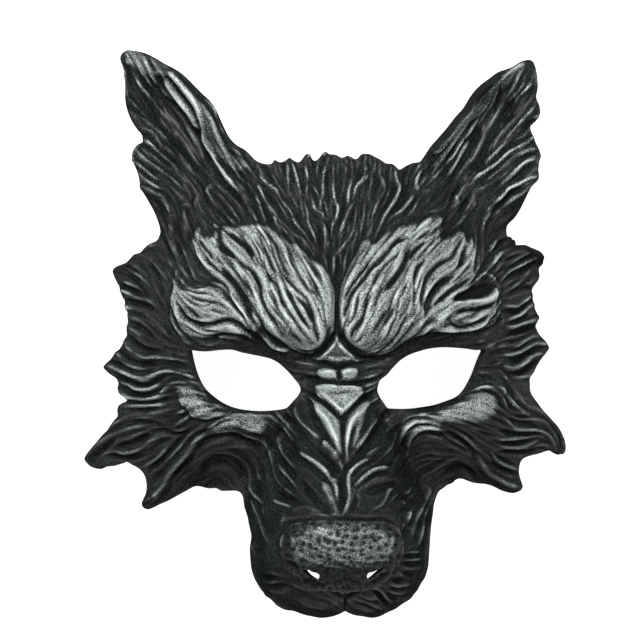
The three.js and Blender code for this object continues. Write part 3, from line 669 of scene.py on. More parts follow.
# Grooves: width in pixels and strength, then the path
grooves = {
    "left brow": """
        5 1 | 227,234 237,240 247,248 252,256 253,261
        5 1 | 219,238 223,248 231,255 238,260
        3 0.9 | 238,260 246,268 253,274 259,284 262,295 265,306 272,318 279,327
        1.8 0.7 | 254,240 260,248 264,256 266,268 269,276
        2.2 0.8 | 266,274 270,281 272,288
        2.4 0.8 | 270,243 273,253 277,265 282,275 290,284 298,291 306,300 312,312 315,325
        2 0.7 | 288,256 291,266 298,276 306,288 317,297
        2 0.7 | 296,251 302,263 308,274 315,286 319,294
        1.6 0.5 | 306,260 317,274 324,286 329,296
        3.6 0.9 | 285,290 291,300 296,309 302,319 309,329
        4.2 1 | 298,300 305,306 310,315 314,325
        2 0.8 | 276,279 279,290 281,302 284,310
        1.8 0.8 | 272,306 279,315 287,324 295,332 304,339
        2.6 1 | 263,327 272,335 280,341 289,347 301,354
        3 0.9 | 199,238 203,245 211,256 216,263
        2.6 0.9 | 194,243 196,253 201,263 207,271 212,274
        5 1 | 223,270 231,279 237,286 243,295 248,305 251,316 253,321
        2 0.8 | 245,290 249,301 253,311 258,319
        2 0.6 | 208,279 218,281 226,286 229,289
        2.6 0.8 | 190,288 197,289 207,286 218,287 224,290 230,297 236,305 242,313 249,321
        2.6 0.8 | 183,289 190,291 200,294 209,294
        2 0.5 | 203,308 212,305 218,302 223,304
        3 0.9 | 189,308 194,312 201,317 206,318
        3.8 1 | 181,306 186,315 193,320 203,323 214,323 226,320 235,321 243,325 249,329
        2.6 0.8 | 189,325 196,330 203,332
        3 0.8 | 201,338 214,338 223,333 233,334 243,333""",
    "between the brows": """
        2 0.5 | 336,228 337,240 338,252
        3.5 0.9 | 338,254 337,275 337,300 337,318 337,332
        5 1 | 336,332 330,343 322,352 312,357 300,358
        5 1 | 338,332 344,343 352,352 362,358 378,359 392,356""",
    "right brow": """
        3 1 | 371,260 363,272 356,281 349,290 345,301
        3.5 1 | 381,259 372,268 364,279 357,288 351,297 349,305 348,312
        2.5 0.9 | 397,255 388,264 379,274 372,285 369,288
        2.5 0.8 | 359,297 357,306 355,315 352,321 347,326
        3 0.9 | 349,301 346,312 345,320
        2.6 0.8 | 370,298 366,306 364,316 361,324 355,331
        2.8 0.8 | 386,309 382,317 377,326 372,334
        2.4 0.7 | 394,306 391,315 386,323 381,330
        2.4 0.7 | 400,297 397,306 395,316 391,325 386,333
        2.5 1 | 407,313 404,320 400,327 395,334 389,341 381,348 374,353
        2 0.8 | 412,285 413,293 412,301 412,306
        5 0.9 | 409,249 407,256 401,270 395,279 389,286 384,293
        3.5 1 | 406,240 395,245 386,255 378,265 372,271
        3 0.8 | 429,231 422,237 416,242
        4 0.9 | 425,243 416,250 411,255 409,263
        3.5 1 | 422,263 416,270 414,279 413,286
        4 1 | 448,260 439,265 431,272 425,280 422,290 421,301 419,309
        6 1 | 451,278 441,283 434,290 429,298 426,306 424,315
        4 1 | 468,279 459,286 448,293 439,301 434,305
        8 1 | 487,280 485,288 474,293 462,297 451,301
        3.5 0.9 | 481,308 469,310 459,312 452,316
        3 0.9 | 485,316 476,320 464,324 453,325 447,321
        2 0.7 | 492,320 485,325 476,327
        5 1 | 463,249 462,257 459,265 455,270""",
    "left ear": """
        6 0.7 | 155,72 165,86 175,100 185,114 194,128 201,142 206,155 212,166
        4 0.9 | 164,75 172,82 180,92 189,103 196,113 201,124 205,136
        3 0.6 | 126,68 134,80 142,92 150,102
        3 0.7 | 126,104 136,110 144,118
        4 0.9 | 141,132 148,135 153,139 158,146
        3.5 0.7 | 143,143 155,152 165,160 175,168
        5 0.5 | 155,112 165,128 178,144 190,160 200,175
        3 0.6 | 136,158 144,165 152,171 162,179
        3 0.6 | 138,166 146,173 154,180 163,186
        3 0.7 | 139,182 148,186 157,191 166,194
        3 0.5 | 147,96 156,108 166,122 176,136
        3 0.6 | 120,66 128,66 134,74 138,84
        2.5 0.6 | 151,62 157,73 164,83
        3.5 0.6 | 206,104 213,116 219,130 226,146 234,158
        3 0.5 | 216,112 223,128 229,142 238,152
        3 0.5 | 228,154 236,166 243,178 248,190
        4 0.8 | 212,168 220,178 228,188 236,198""",
    "right ear": """
        8 0.8 | 512,100 503,112 494,126 486,142 478,158 470,172
        5 0.9 | 482,124 474,138 467,152 459,166 452,180
        3.5 0.8 | 476,117 468,123 461,130 454,141 449,152
        4 0.9 | 538,120 530,122 522,128
        5 0.8 | 520,140 508,148 498,156 488,164
        5 0.8 | 535,166 525,170 516,178 508,184
        4 0.6 | 524,92 516,104 508,116 500,128
        3 0.7 | 500,84 499,93 495,104 489,114
        3 0.6 | 524,70 520,80 514,92
        4 0.7 | 516,150 504,160 494,170 484,178
        3 0.6 | 536,154 526,157 517,164 509,172
        5 0.8 | 520,188 509,194 499,206 492,214
        3 0.7 | 450,160 443,170 436,180
        3 0.7 | 433,158 431,168 428,178
        4 0.8 | 464,180 458,190 450,200
        4 0.8 | 470,196 464,206 458,214""",
    "bridge": """
        3.5 1 | 296,360 312,361 326,364 337,369 348,366 362,363 384,361
        4 1 | 303,378 316,379 330,382 343,384 358,383 372,381 380,378
        4 1 | 338,368 339,374 339,380
        4 1 | 302,391 312,396 322,402 331,410 337,415 342,418 348,412 356,405 364,398 374,390
        3.5 0.9 | 342,418 342,428 343,440 344,454
        5 0.9 | 304,396 309,404 312,414 318,424 325,434 330,442
        5.5 1 | 286,416 294,428 304,440 314,449 324,458 334,466 342,472
        5.5 1 | 392,408 384,420 376,432 367,444 358,454 349,464 343,472
        6 0.9 | 276,428 286,442 296,454 306,463 316,470 324,478 330,484
        5 0.8 | 356,424 352,436 350,448 349,456
        3.5 0.7 | 342,474 341,484 340,494 340,506 340,514
        6 0.8 | 302,482 308,490 316,500 324,508 329,514
        4 0.8 | 352,478 358,470 366,464 376,459
        4 0.8 | 356,488 366,480 376,474 388,472
        8 0.7 | 366,492 376,488 390,484 404,486
        3 1 | 284,524 300,520 320,518 343,519 366,519 386,520 400,530
        3 0.4 | 324,391 334,394 344,393 356,391""",
    "left muzzle": """
        4 0.8 | 272,444 278,456 286,468 294,478
        6 0.9 | 272,490 280,496 290,500 298,502
        4 0.8 | 268,452 269,466 272,480 276,494
        3.5 0.8 | 252,482 256,490 262,498
        3.5 0.7 | 256,500 260,512 266,524 272,536
        3 0.7 | 264,490 266,504 271,518
        3.5 0.7 | 247,510 252,524 255,538 257,552
        3 0.6 | 264,470 262,482 266,494
        4 0.9 | 262,578 270,577 278,580
        4 0.9 | 268,588 276,586 286,585
        3.5 0.8 | 262,592 270,594 276,598
        3 0.6 | 284,458 290,468 296,480""",
    "right muzzle": """
        6 0.9 | 396,498 404,496 412,500 408,508 400,512
        4 0.8 | 404,516 408,524 406,532 400,540
        4 0.8 | 416,506 414,516 410,528 408,538
        3.5 0.8 | 424,508 422,520 418,532 414,546
        3.5 0.7 | 430,506 428,520 425,534 422,548
        4 0.9 | 405,557 412,556 420,556
        4 0.9 | 404,563 412,564 420,562
        4 0.9 | 402,573 410,574 420,572
        4 0.9 | 393,580 400,582 406,580
        4 0.9 | 390,588 398,590 408,588
        4 0.9 | 388,594 396,598 406,596
        3.5 0.8 | 372,590 380,596 386,604 392,608
        3.5 0.8 | 356,602 366,606 376,610
        3 0.7 | 386,470 392,462 398,452 402,440
        3 0.7 | 394,476 402,468 408,456
        3 0.6 | 414,480 412,490 408,498""",
    "lip": """
        2.5 0.6 | 345,590 345,598 345,606 345,613
        5 0.7 | 286,560 294,566 300,570
        4 0.5 | 302,578 310,581 318,584 326,584
        4 0.5 | 364,583 372,582 380,578 388,570
        4 0.7 | 330,592 340,596 345,600
        4 0.7 | 358,592 350,596 345,600""",
    "left temple": """
        3 0.5 | 120,272 132,278 142,288 150,298
        4 0.6 | 120,286 132,290 144,295
        5 0.7 | 122,299 134,303 146,306 156,312
        4 0.6 | 126,312 138,314 148,320
        5 0.6 | 130,322 142,328 154,338
        5 0.7 | 126,334 136,344 148,350 164,352
        5 0.7 | 118,350 128,360 140,364 160,364
        4 0.6 | 112,360 126,368 140,372 156,368
        5 0.9 | 118,377 132,383 144,385 156,381 166,376
        5 0.9 | 120,384 132,393 144,395 156,392 164,386
        4 0.8 | 126,401 140,402 158,401 172,397
        3 0.6 | 160,232 166,246 172,260
        4 0.7 | 176,240 182,256 188,272 192,284
        3 0.6 | 146,262 154,272 160,284 164,298
        3 0.5 | 136,262 146,270 152,282""",
    "left cheek": """
        4 0.8 | 90,462 98,454 106,446 116,438
        4 0.7 | 104,456 116,456 130,458 146,455
        5 0.8 | 116,446 130,444 142,438 152,434
        4 0.6 | 128,424 140,421 152,423 164,426
        4 0.7 | 150,432 162,430 176,434 190,432
        4 0.5 | 152,448 160,442 172,438
        4 0.8 | 150,470 160,462 170,452 178,442 188,434
        4 0.7 | 152,482 162,470 174,458 182,448
        3 0.8 | 130,410 146,409 160,408
        3 0.8 | 176,418 184,416 190,413
        3 0.8 | 178,409 184,408 189,405
        7 0.6 | 196,448 208,440 226,436 246,440 262,448
        8 0.45 | 200,474 210,464 228,462 240,470 246,482
        5 0.7 | 170,480 184,466 194,454
        2.5 0.9 | 196,419.5 206,420.5 216,419 224,417
        2.5 0.8 | 212,428 222,421 234,419
        5 0.8 | 204,388 214,398 226,405 240,409 256,411 272,412""",
    "right temple": """
        3 0.7 | 500,262 510,258 518,255
        3 0.7 | 500,272 510,266 520,260 528,257
        4 0.7 | 504,280 514,273 524,268 534,262
        3 0.6 | 516,290 526,282 534,276
        4 0.6 | 506,296 516,290 526,286 532,290
        4 0.8 | 506,311 516,312 524,306 530,301
        3 0.8 | 508,323 518,320 526,315
        6 0.9 | 510,335 520,331 530,328 537,326
        3 0.6 | 506,344 518,340 528,334
        3 0.7 | 506,350 518,349 528,343
        5 0.8 | 508,360 518,360 528,354 540,349
        4 0.8 | 510,373 520,373 530,367 538,360
        6 0.8 | 494,250 500,244 508,240""",
    "right cheek": """
        4 0.7 | 440,430 454,436 466,444 476,454 486,462
        3 0.5 | 446,440 458,446 470,452
        2.5 0.9 | 474,393 480,391 486,391 494,395
        2 0.7 | 482,385 492,385 500,389
        4 0.9 | 506,402 512,408 519,413
        4 0.8 | 508,388 514,396 520,403
        4 0.8 | 508,418 518,422 530,424 540,428
        3 0.8 | 512,414 522,417 532,417
        4 0.8 | 500,430 512,434 524,434 538,433
        4 0.8 | 500,443 514,443 528,441
        4 0.7 | 498,452 510,452 524,452 538,448
        4 0.6 | 494,454 502,460 512,464
        3 0.7 | 490,462 498,468 508,472 518,475
        3 0.7 | 556,432 560,442 562,452
        4 0.6 | 476,430 486,434 496,436
        7 0.5 | 444,474 452,468 462,468 470,472 476,480
        5 0.8 | 412,437 422,433 434,433 446,438
        5 0.8 | 406,410 420,410 436,407 452,403 464,397
        3 0.8 | 404,424 412,419 422,418 434,419
        3 0.8 | 406,431 414,426 424,424 434,425""",
}


# Raised strands
crests = {
    "left brow": """
        4 0.8 | 259,326 266,335 275,346 284,349 293,349
        3 0.6 | 177,290 175,303 173,315 177,327 182,335 186,341 194,346
        3 0.45 | 179,302 180,315 184,327 191,336 200,342 209,345 219,343
        4 0.8 | 230,290 237,303 243,312 249,320 251,325
        3 0.35 | 179,207 181,220 184,233 187,243
        4 0.6 | 168,226 171,238 175,248
        3 0.55 | 168,259 177,270
        3 0.6 | 213,223 219,229
        2.5 0.3 | 218,219 228,225
        4 0.7 | 249,211 251,222 256,230 259,235""",
    "right brow": """
        6 0.9 | 493,290 487,297 476,302 462,302 451,306 441,316 432,324
        3 0.9 | 489,309 479,312 469,318 459,320
        4 0.9 | 430,325 441,326 453,327 464,326 476,323 485,316
        3 0.7 | 414,333 422,328 428,324
        3 0.5 | 479,210 475,220 474,234 476,245 477,257 476,270 471,279 467,285
        3 0.45 | 492,208 484,219 482,235 481,251 480,265
        3 0.5 | 481,274 489,275 494,281 498,290 498,303 496,316 490,324 481,327
        4 0.4 | 456,338 470,336 482,334 491,330""",
    "crown": """
        4 0.55 | 257,167 260,173 263,180 269,186 277,191 282,197
        2.5 0.6 | 257,182 260,189 264,198 269,207 275,213 279,219 285,226 291,235 299,245
        4 0.6 | 288,161 288,170 288,179 290,188
        3 0.55 | 291,163 295,171 298,180 300,191 305,197
        2.5 0.5 | 308,185 305,194 306,204 308,214 308,223 312,232 316,241
        2.5 0.5 | 308,185 312,185 316,192 319,199
        2.5 0.65 | 333,163 334,174 333,188 335,201 338,211 333,225 332,230
        3 0.55 | 333,164 325,170 323,180 323,194 321,204 321,210
        3 0.5 | 343,163 347,169 347,182 347,194 347,204
        4 0.6 | 366,169 370,174 362,182 355,189 353,198
        2.5 0.55 | 371,173 371,183 369,192
        3 0.5 | 380,160 381,167 380,177 386,188 381,197 378,204 374,211
        3.5 0.6 | 396,166 395,177 399,189 396,199 390,208 383,217 381,223
        3 0.4 | 411,173 408,183 411,195
        3 0.65 | 424,167 418,176 416,185 418,192 411,201 402,211 393,217
        2.5 0.45 | 418,192 424,191 431,191
        5 0.4 | 420,202 414,211 408,219
        4 0.6 | 454,160 446,167 439,174 431,182
        3 0.6 | 355,202 349,210 345,222 340,232 337,236
        2.5 0.55 | 358,223 353,232 349,239 343,247 338,254
        2 0.5 | 358,226 356,236 352,247
        2.5 0.35 | 358,204 359,214 361,225 361,239
        2.5 0.4 | 274,211 276,222 279,228
        2.5 0.45 | 282,219 288,228 294,235 303,239 310,248
        2.5 0.35 | 290,216 297,225 305,233 312,245 316,251
        2.5 0.35 | 310,201 316,210 325,216 331,226
        3 0.3 | 322,222 327,232 328,241 328,251
        3 0.3 | 231,167 243,179 251,186
        3 0.25 | 225,171 237,183 247,191
        3 0.35 | 247,208 253,222 259,232
        3 0.3 | 256,191 260,207 263,217
        3 0.3 | 226,217 237,225 249,232
        3 0.6 | 307,154 308,156 309,159
        3 0.6 | 321,157 324,154 327,152""",
    "ear rims": """
        4 1 | 163,78 172,90 184,104 194,116 200,126
        4 1 | 200,116 204,130 210,146 220,166 236,188
        3 0.8 | 124,56 130,66 136,76
        3 0.7 | 134,56 140,68 146,80
        5 0.8 | 430,156 446,138 462,119 477,100 492,84 510,71 526,63
        4 0.6 | 446,150 460,130 474,113 486,99""",
    "left ear": """
        4 0.95 | 166,70 172,75 180,84 190,96 198,108 202,118 205,130 208,141 212,152 217,162
            222,171 229,181 237,190
        3.5 1 | 152,66 158,77 164,89 170,96 180,104 188,113 195,122 202,130
        5 0.45 | 150,57 160,64 172,72 182,80 190,90 200,101
        4 0.5 | 196,100 205,110 213,122 219,136 225,150 232,164 240,176
        4 0.45 | 200,95 212,107 219,120 226,136 234,148 244,158
        3.5 0.65 | 135,55 142,68 147,78 151,86
        3 0.55 | 143,56 148,66 153,76 160,88
        4 0.6 | 127,58 133,70 138,82 142,90
        3.5 0.5 | 125,64 125,80 127,90 126,100
        3 0.45 | 131,72 136,82 141,90 149,97
        2.5 0.32 | 141,85 149,96 157,106 165,118 173,130 181,142
        2.5 0.32 | 128,104 138,112 147,121 156,130 166,138 177,148 187,160 196,172
        2.5 0.3 | 145,127 155,133 163,140 171,150 181,159 191,170
        2.5 0.38 | 143,139 152,146 162,156 173,164 185,175 195,187
        2.5 0.42 | 136,150 144,158 153,166 163,173 173,180 181,190
        2.5 0.45 | 135,160 142,168 150,175 160,182 169,189
        2.5 0.45 | 137,172 146,180 156,186 165,192
        3 0.45 | 140,186 150,190 160,197
        3 0.5 | 142,143 136,149 133,156 134,164 138,173
        2 0.28 | 156,96 165,110 175,124 186,140 196,156
        2 0.28 | 168,100 178,114 188,130 198,148
        2.5 0.4 | 198,194 195,203 196,212 200,222
        2.5 0.4 | 206,196 208,188 214,182
        2.5 0.35 | 214,190 224,198 232,208 240,220
        3 0.4 | 181,208 184,222 187,236
        3 0.35 | 179,207 184,205 190,206
        3 0.35 | 158,196 166,206 170,220 174,236""",
    "right ear": """
        5 0.85 | 511,71 500,77 491,85 483,96 475,107 466,117 459,127 452,137 446,147 441,157 437,166
        3.5 0.85 | 492,88 488,98 483,108 478,118 472,128 465,137 458,146 452,156 446,164 438,174 431,182
        3 0.5 | 499,82 495,95 490,106 483,117 477,128 472,138
        2.5 0.42 | 472,133 467,143 461,153 456,163 450,172 444,180 438,186
        2.5 0.5 | 521,72 516,84 510,94 506,104
        2.5 0.85 | 528,78 521,88 514,96 506,104 500,112
        2.5 0.7 | 533,80 526,90 518,98 513,106
        2.5 0.35 | 517,66 512,76 506,88 500,100 495,110
        3 0.45 | 535,66 537,80 535,92
        2 0.5 | 525,117 516,128 508,136 502,142
        2 0.42 | 514,118 506,128 498,138 492,148
        2 0.3 | 504,112 497,122 490,133 484,144
        3 0.4 | 535,104 530,112 524,118
        2.5 0.7 | 538,102 540,110 538,117 531,119
        4 0.65 | 533,130 534,136 528,142 520,146 512,151 505,158 498,164 489,170 480,175 472,180
        3 0.6 | 539,148 530,150 522,153 514,158
        2.5 0.6 | 541,157 532,160 524,163 516,170 508,178 502,184 498,190
        3 0.7 | 540,176 532,178 524,181 514,186 507,190 503,197 496,200 489,208 484,216
        4 0.35 | 536,182 526,190 517,196 508,202 500,208
        3 0.3 | 522,204 512,212 503,219 496,224
        3 0.4 | 541,152 538,160 540,170
        2 0.3 | 480,160 474,172 470,182
        2.5 0.6 | 451,195 448,201 443,208 436,212 428,211
        3 0.5 | 462,193 456,197 457,202 452,208 449,212
        2.5 0.6 | 474,195 475,202 471,209 465,216 460,222 454,228
        2 0.3 | 487,188 478,188 472,191""",
    "bridge": """
        5 0.7 | 336,340 331,348 324,355 319,358
        5 0.7 | 338,340 343,348 351,355 358,358
        5 0.5 | 322,358 330,358 338,361 347,358 355,358
        4 0.6 | 322,373 329,372 335,373
        4 0.7 | 343,373 348,371 354,371
        4 0.3 | 304,373 312,373 322,374
        4 0.55 | 318,387 330,386 342,386 354,388 360,390
        4.5 0.8 | 320,392 328,400 336,408 342,413 348,408 353,401 360,394
        4 0.8 | 316,391 322,398 330,406
        4 0.8 | 364,391 358,395 352,402
        5 0.8 | 316,406 322,414 328,422 332,432 336,442 338,450
        5 0.8 | 362,412 355,417 350,425 348,436 347,448
        6 0.55 | 296,402 298,414 304,424 314,434 322,442
        8 0.8 | 322,440 328,448 334,454 340,462
        6 0.75 | 362,452 354,458 348,464 344,466
        5 0.5 | 376,412 372,420 368,430 362,440 356,450
        6 0.75 | 296,452 306,458 316,464 324,471 330,480
        5 0.4 | 290,424 300,436 310,446 320,456 332,468
        5 0.4 | 392,440 382,446 372,452 362,460
        5 0.9 | 372,459 362,464 354,470 349,476 348,486 349,498 347,508 343,516
        4 0.75 | 390,469 380,469 372,471 366,476 361,481 355,486
        8 0.7 | 322,484 326,492 330,500 336,508
        5 0.6 | 334,482 337,492 338,504
        5 0.35 | 352,488 360,500 356,510
        3 0.5 | 330,481 340,481
        6 0.35 | 290,512 304,508 318,510""",
    "left muzzle": """
        2.5 0.6 | 278,440 283,452 290,462 297,470
        3.5 0.6 | 277,462 284,472 292,480 298,490
        3 0.5 | 269,442 270,456 275,470 280,482 288,490 296,496
        3 0.6 | 271,498 278,503 288,506 296,510
        3.5 0.6 | 249,480 252,490 258,498 264,504
        2.5 0.5 | 257,468 260,478 265,488
        2.5 0.45 | 262,508 264,518 270,528
        3 0.5 | 250,494 255,508 260,520 265,534 270,546
        2.5 0.4 | 244,500 249,516 253,530 257,546 258,556
        3 0.4 | 252,540 254,550 258,560
        6 0.35 | 276,512 286,516 280,528
        3 0.4 | 262,572 272,573 282,575
        3 0.4 | 262,583 272,582 282,580
        3 0.4 | 264,596 272,591 280,592 290,590
        2.5 0.3 | 268,600 280,606 292,610
        3 0.3 | 282,456 288,450 296,456""",
    "right muzzle": """
        2.5 0.5 | 396,430 393,440 388,450 382,458
        2.5 0.55 | 402,436 399,446 398,456 393,466 386,472
        2.5 0.45 | 406,444 406,456 402,466 396,474
        2.5 0.5 | 414,470 415,480 410,490 406,496
        4 0.6 | 400,486 392,487 387,492 384,500 380,506 370,512
        3 0.6 | 404,495 396,496 390,500 388,506
        3 0.4 | 372,512 382,510 390,508
        3.5 0.5 | 424,486 430,490 426,498 421,508 416,520
        2.5 0.4 | 436,490 432,500 427,510 422,522
        3 0.5 | 403,514 410,512 407,520 403,528
        3 0.45 | 426,522 422,534 417,544 412,552
        2.5 0.45 | 405,548 412,546 420,540
        3.5 0.5 | 406,553 414,552 422,552
        3 0.5 | 406,560 414,560 422,558
        5 0.5 | 404,568 414,568 426,566
        3 0.5 | 394,575 401,574 407,577
        3 0.5 | 390,584 398,586 408,584 420,582
        3 0.4 | 388,591 398,594 410,591
        3 0.4 | 370,587 380,590 388,600 398,604
        3 0.35 | 352,598 362,602 374,606 386,610
        2.5 0.35 | 430,520 428,540 426,556
        4 0.3 | 386,520 394,526 400,540""",
    "lip": """
        5 0.3 | 290,582 304,588 318,590
        5 0.3 | 296,600 312,606 330,608
        6 0.22 | 330,600 338,606
        5 0.3 | 360,596 372,598 380,594
        3 0.5 | 286,532 284,544 283,556
        3 0.45 | 398,536 401,546 400,556""",
    "left temple": """
        5 0.45 | 146,248 154,245 161,247
        3 0.4 | 130,256 140,254 148,258 155,264 162,272 168,282 172,292
        4 0.4 | 113,270 119,266 127,264
        2.5 0.3 | 128,264 138,268 148,276 156,288 162,300 168,314 171,328
        2 0.4 | 150,268 156,276 161,286 166,300 168,316
        2.5 0.42 | 130,272 140,276 149,284 156,292 161,300
        3 0.5 | 123,280 130,284 137,287
        2 0.3 | 140,282 147,290 153,300 160,306
        3 0.65 | 119,291 126,292 132,295
        3 0.35 | 132,297 142,299 152,302 160,308
        3 0.65 | 124,305 128,308 133,309
        2.5 0.3 | 128,316 138,320 146,326 152,334
        4 0.5 | 126,326 132,330 138,334 146,341
        2.5 0.28 | 142,312 152,318 160,326 168,336
        3 0.4 | 122,338 126,344 130,350 136,356 144,360
        3 0.5 | 132,352 138,355 145,358 156,357 170,358 180,360
        3 0.6 | 115,351 120,356 127,361 136,366
        4 0.62 | 104,366 110,366 117,369 126,373 135,377 145,379 154,376 162,372 172,371 184,373 196,379
        3 0.52 | 126,383 134,388 144,390 153,387 161,381 168,378 178,377 190,381 200,386
        4 0.52 | 118,390 124,396 133,399 143,400 154,397 162,392 170,385 178,382 188,383
        3 0.45 | 118,406 126,405 140,406 156,405 168,405""",
    "left cheek": """
        4 0.65 | 85,458 92,450 100,443 108,437 116,433 126,430 136,427 146,426
        3 0.55 | 108,430 115,424 124,418 134,414 146,413
        3 0.48 | 110,447 118,443 128,439 138,434 148,431
        3 0.65 | 114,451 124,453 134,451 144,446 152,440 162,436
        2.5 0.5 | 146,414 156,412 166,410 174,408
        3 0.35 | 130,419 144,418 160,420 172,421
        3 0.58 | 141,468 147,464 154,460 162,454 168,446
        2.5 0.4 | 131,462 142,459 154,455 164,449
        3 0.65 | 157,474 164,467 172,458 179,450 184,442 190,434 198,428 208,424
        6 0.7 | 152,500 158,492 164,484 170,474 178,464 186,455 192,446 198,438 206,433
        3 0.5 | 144,502 152,497 162,491
        2.5 0.4 | 163,430 172,432 181,431 190,427
        3 0.6 | 174,426 182,421 188,417 192,412
        2.5 0.6 | 176,414 184,411 190,408
        2.5 0.75 | 180,396 184,404 190,410 195,416 206,418 218,416 228,416
        3 0.7 | 240,430 250,431 258,431 266,435
        3 0.7 | 240,434 252,437 264,442 270,452
        3 0.4 | 228,446 240,445 252,448
        3 0.7 | 208,428 216,423 224,419 234,417""",
    "right temple": """
        2.5 0.5 | 489,252 493,244 498,240
        2.5 0.5 | 491,270 494,261 500,253 506,250
        3 0.5 | 492,276 498,266 504,260 512,254 520,251 530,250
        2.5 0.62 | 496,278 504,270 512,264 520,257 528,252 534,253
        3 0.5 | 498,284 504,276 512,270 520,266 530,260 538,256 542,258
        2.5 0.42 | 502,292 508,284 514,280 522,276 530,269 536,266
        2.5 0.55 | 510,290 518,282 526,275 533,270
        3 0.6 | 514,294 522,287 530,281 538,275
        2.5 0.4 | 507,301 513,297 520,293 526,289
        3 0.62 | 500,305 508,306 516,307 522,303 528,298 533,295
        3 0.62 | 502,324 510,319 518,316 525,310 532,305 536,303
        3.5 0.65 | 500,326 508,327 514,327 522,324 530,321 539,318
        2.5 0.6 | 525,320 530,315 536,312
        2.5 0.5 | 510,349 518,346 526,340 534,336 542,337
        3 0.62 | 500,354 510,355 520,352 528,347 536,343 544,344 549,347
        3 0.55 | 494,366 498,363 503,360
        4.5 0.6 | 500,362 508,368 518,367 526,361 534,355 544,354
        3 0.4 | 510,378 520,378 530,375 535,370
        3 0.4 | 500,310 502,320 498,330
        3 0.4 | 494,344 488,348 480,347
        3 0.5 | 474,343 480,341 486,341""",
    "right cheek": """
        6 0.8 | 474,392 480,388 490,386 500,390 504,398
        3 0.6 | 478,384 486,381 494,382 502,386 506,394 512,402 520,410 530,416
        3 0.6 | 486,376 494,378 500,382 505,388
        3 0.45 | 490,372 498,371 504,376 508,384
        2.5 0.55 | 500,394 504,402 510,408 518,412 528,414 532,420
        3 0.4 | 512,386 518,394 526,400 534,406 541,412
        3.5 0.5 | 514,392 520,401 528,407 538,410 548,418 556,427 562,438 564,450
        3.5 0.7 | 502,416 508,423 516,429 526,430 536,430 546,434 552,442 556,450
        3 0.55 | 524,419 534,419 544,422 550,430 556,438 560,448
        3 0.62 | 494,437 502,440 512,439 522,438 532,436 540,436 548,441
        2.5 0.6 | 494,445 504,447 516,448 526,446 534,441 542,438
        3 0.5 | 520,449 530,449 538,445 546,445 554,448
        2.5 0.85 | 490,450 495,458 502,463 510,467 518,469
        3 0.6 | 486,456 490,464 497,470 506,475 516,479
        6 0.78 | 474,452 481,461 487,470 496,477 506,483 518,487
        2.5 0.4 | 440,444 450,446 460,450 470,455 478,460
        2.5 0.35 | 460,432 468,440 474,448
        2.5 0.58 | 427,474 434,469 442,464 450,460 458,458
        2.5 0.45 | 416,456 424,452 432,451 440,454
        2.5 0.45 | 416,461 424,458 434,458 442,458
        2 0.3 | 418,468 426,464 434,463
        2 0.3 | 418,447 426,446 434,447
        3 0.8 | 399,446 400,436 405,428 413,422 422,416 432,417 440,418
        3 0.8 | 415,425 422,422 432,422 440,426
        4 0.85 | 406,450 408,441 413,434 420,429 430,427 438,430""",
}

# Rubbed lumps: rise in millimetres, share of silver, softness of the edge in pixels, and the path
lumps = {
    "left cheek, outer": (0.9, 0.75, 12, """178,387 188,384 197,390 203,400 212,409 224,414 212,417
        198,417 191,410 182,402"""),
    "left cheek, inner": (0.7, 0.7, 11, """208,430 220,419 238,415 260,417 268,424 260,431
        240,430 222,431"""),
    "right cheek": (1.1, 0.85, 13, """436,416 448,407 464,402 474,395 484,393 494,397 496,408 488,418
        472,421 454,421"""),
    "right cheek, inner": (0.6, 0.55, 10, "400,424 412,415 436,413 444,420 436,430 416,432 404,438"),
    "nose": (0.3, 0.5, 15, """289,546 299,532 318,525 344,523 370,525 389,533 397,548 387,560 364,566
        344,567 318,566 300,561"""),
    "left ear rim": (0.5, 0.6, 8, """126,48 146,56 166,70 184,86 202,106 218,126 228,148 246,164 240,172
        222,160 208,142 196,120 180,102 160,84 140,70 126,60"""),
    "right ear rim": (0.4, 0.55, 8, """438,144 454,124 470,105 488,87 508,71 524,62 520,76 500,92 484,108
        468,128 452,148 436,158"""),
    "left ear lobe": (0.2, 0.3, 10, "132,150 142,144 150,150 150,166 158,184 150,196 138,178"),
    "right ear lobe": (0.2, 0.3, 10, "520,140 536,150 540,164 536,186 520,192 524,170 516,156"),
    "bridge, triangle": (0.3, 0.5, 5, "338,343 346,351 355,358 346,361 338,362 328,361 321,358 330,351"),
    "bridge, left knob": (0.9, 0.95, 5, "319,370 329,369 336,371 336,377 328,379 320,377"),
    "bridge, right knob": (0.9, 0.95, 5, "342,370 350,368 357,370 356,376 350,379 343,378"),
    "bridge, shield": (0.9, 0.95, 7, "316,387 330,386 346,386 362,388 355,398 342,412 329,402"),
    "bridge, left panel": (0.9, 0.85, 7, """314,402 324,405 333,413 339,424 341,436 341,456 334,446
        328,434 321,420"""),
    "bridge, right panel": (0.9, 0.85, 7, """368,402 359,407 350,416 346,428 345,440 346,458 352,448
        358,434 363,418"""),
    "bridge, lower left": (0.4, 0.45, 9, "320,474 334,478 340,492 341,515 333,508 326,494"),
    "bridge, lower right": (0.3, 0.3, 8, """374,460 360,464 351,474 349,490 345,514 354,504
        362,488 372,474"""),
}

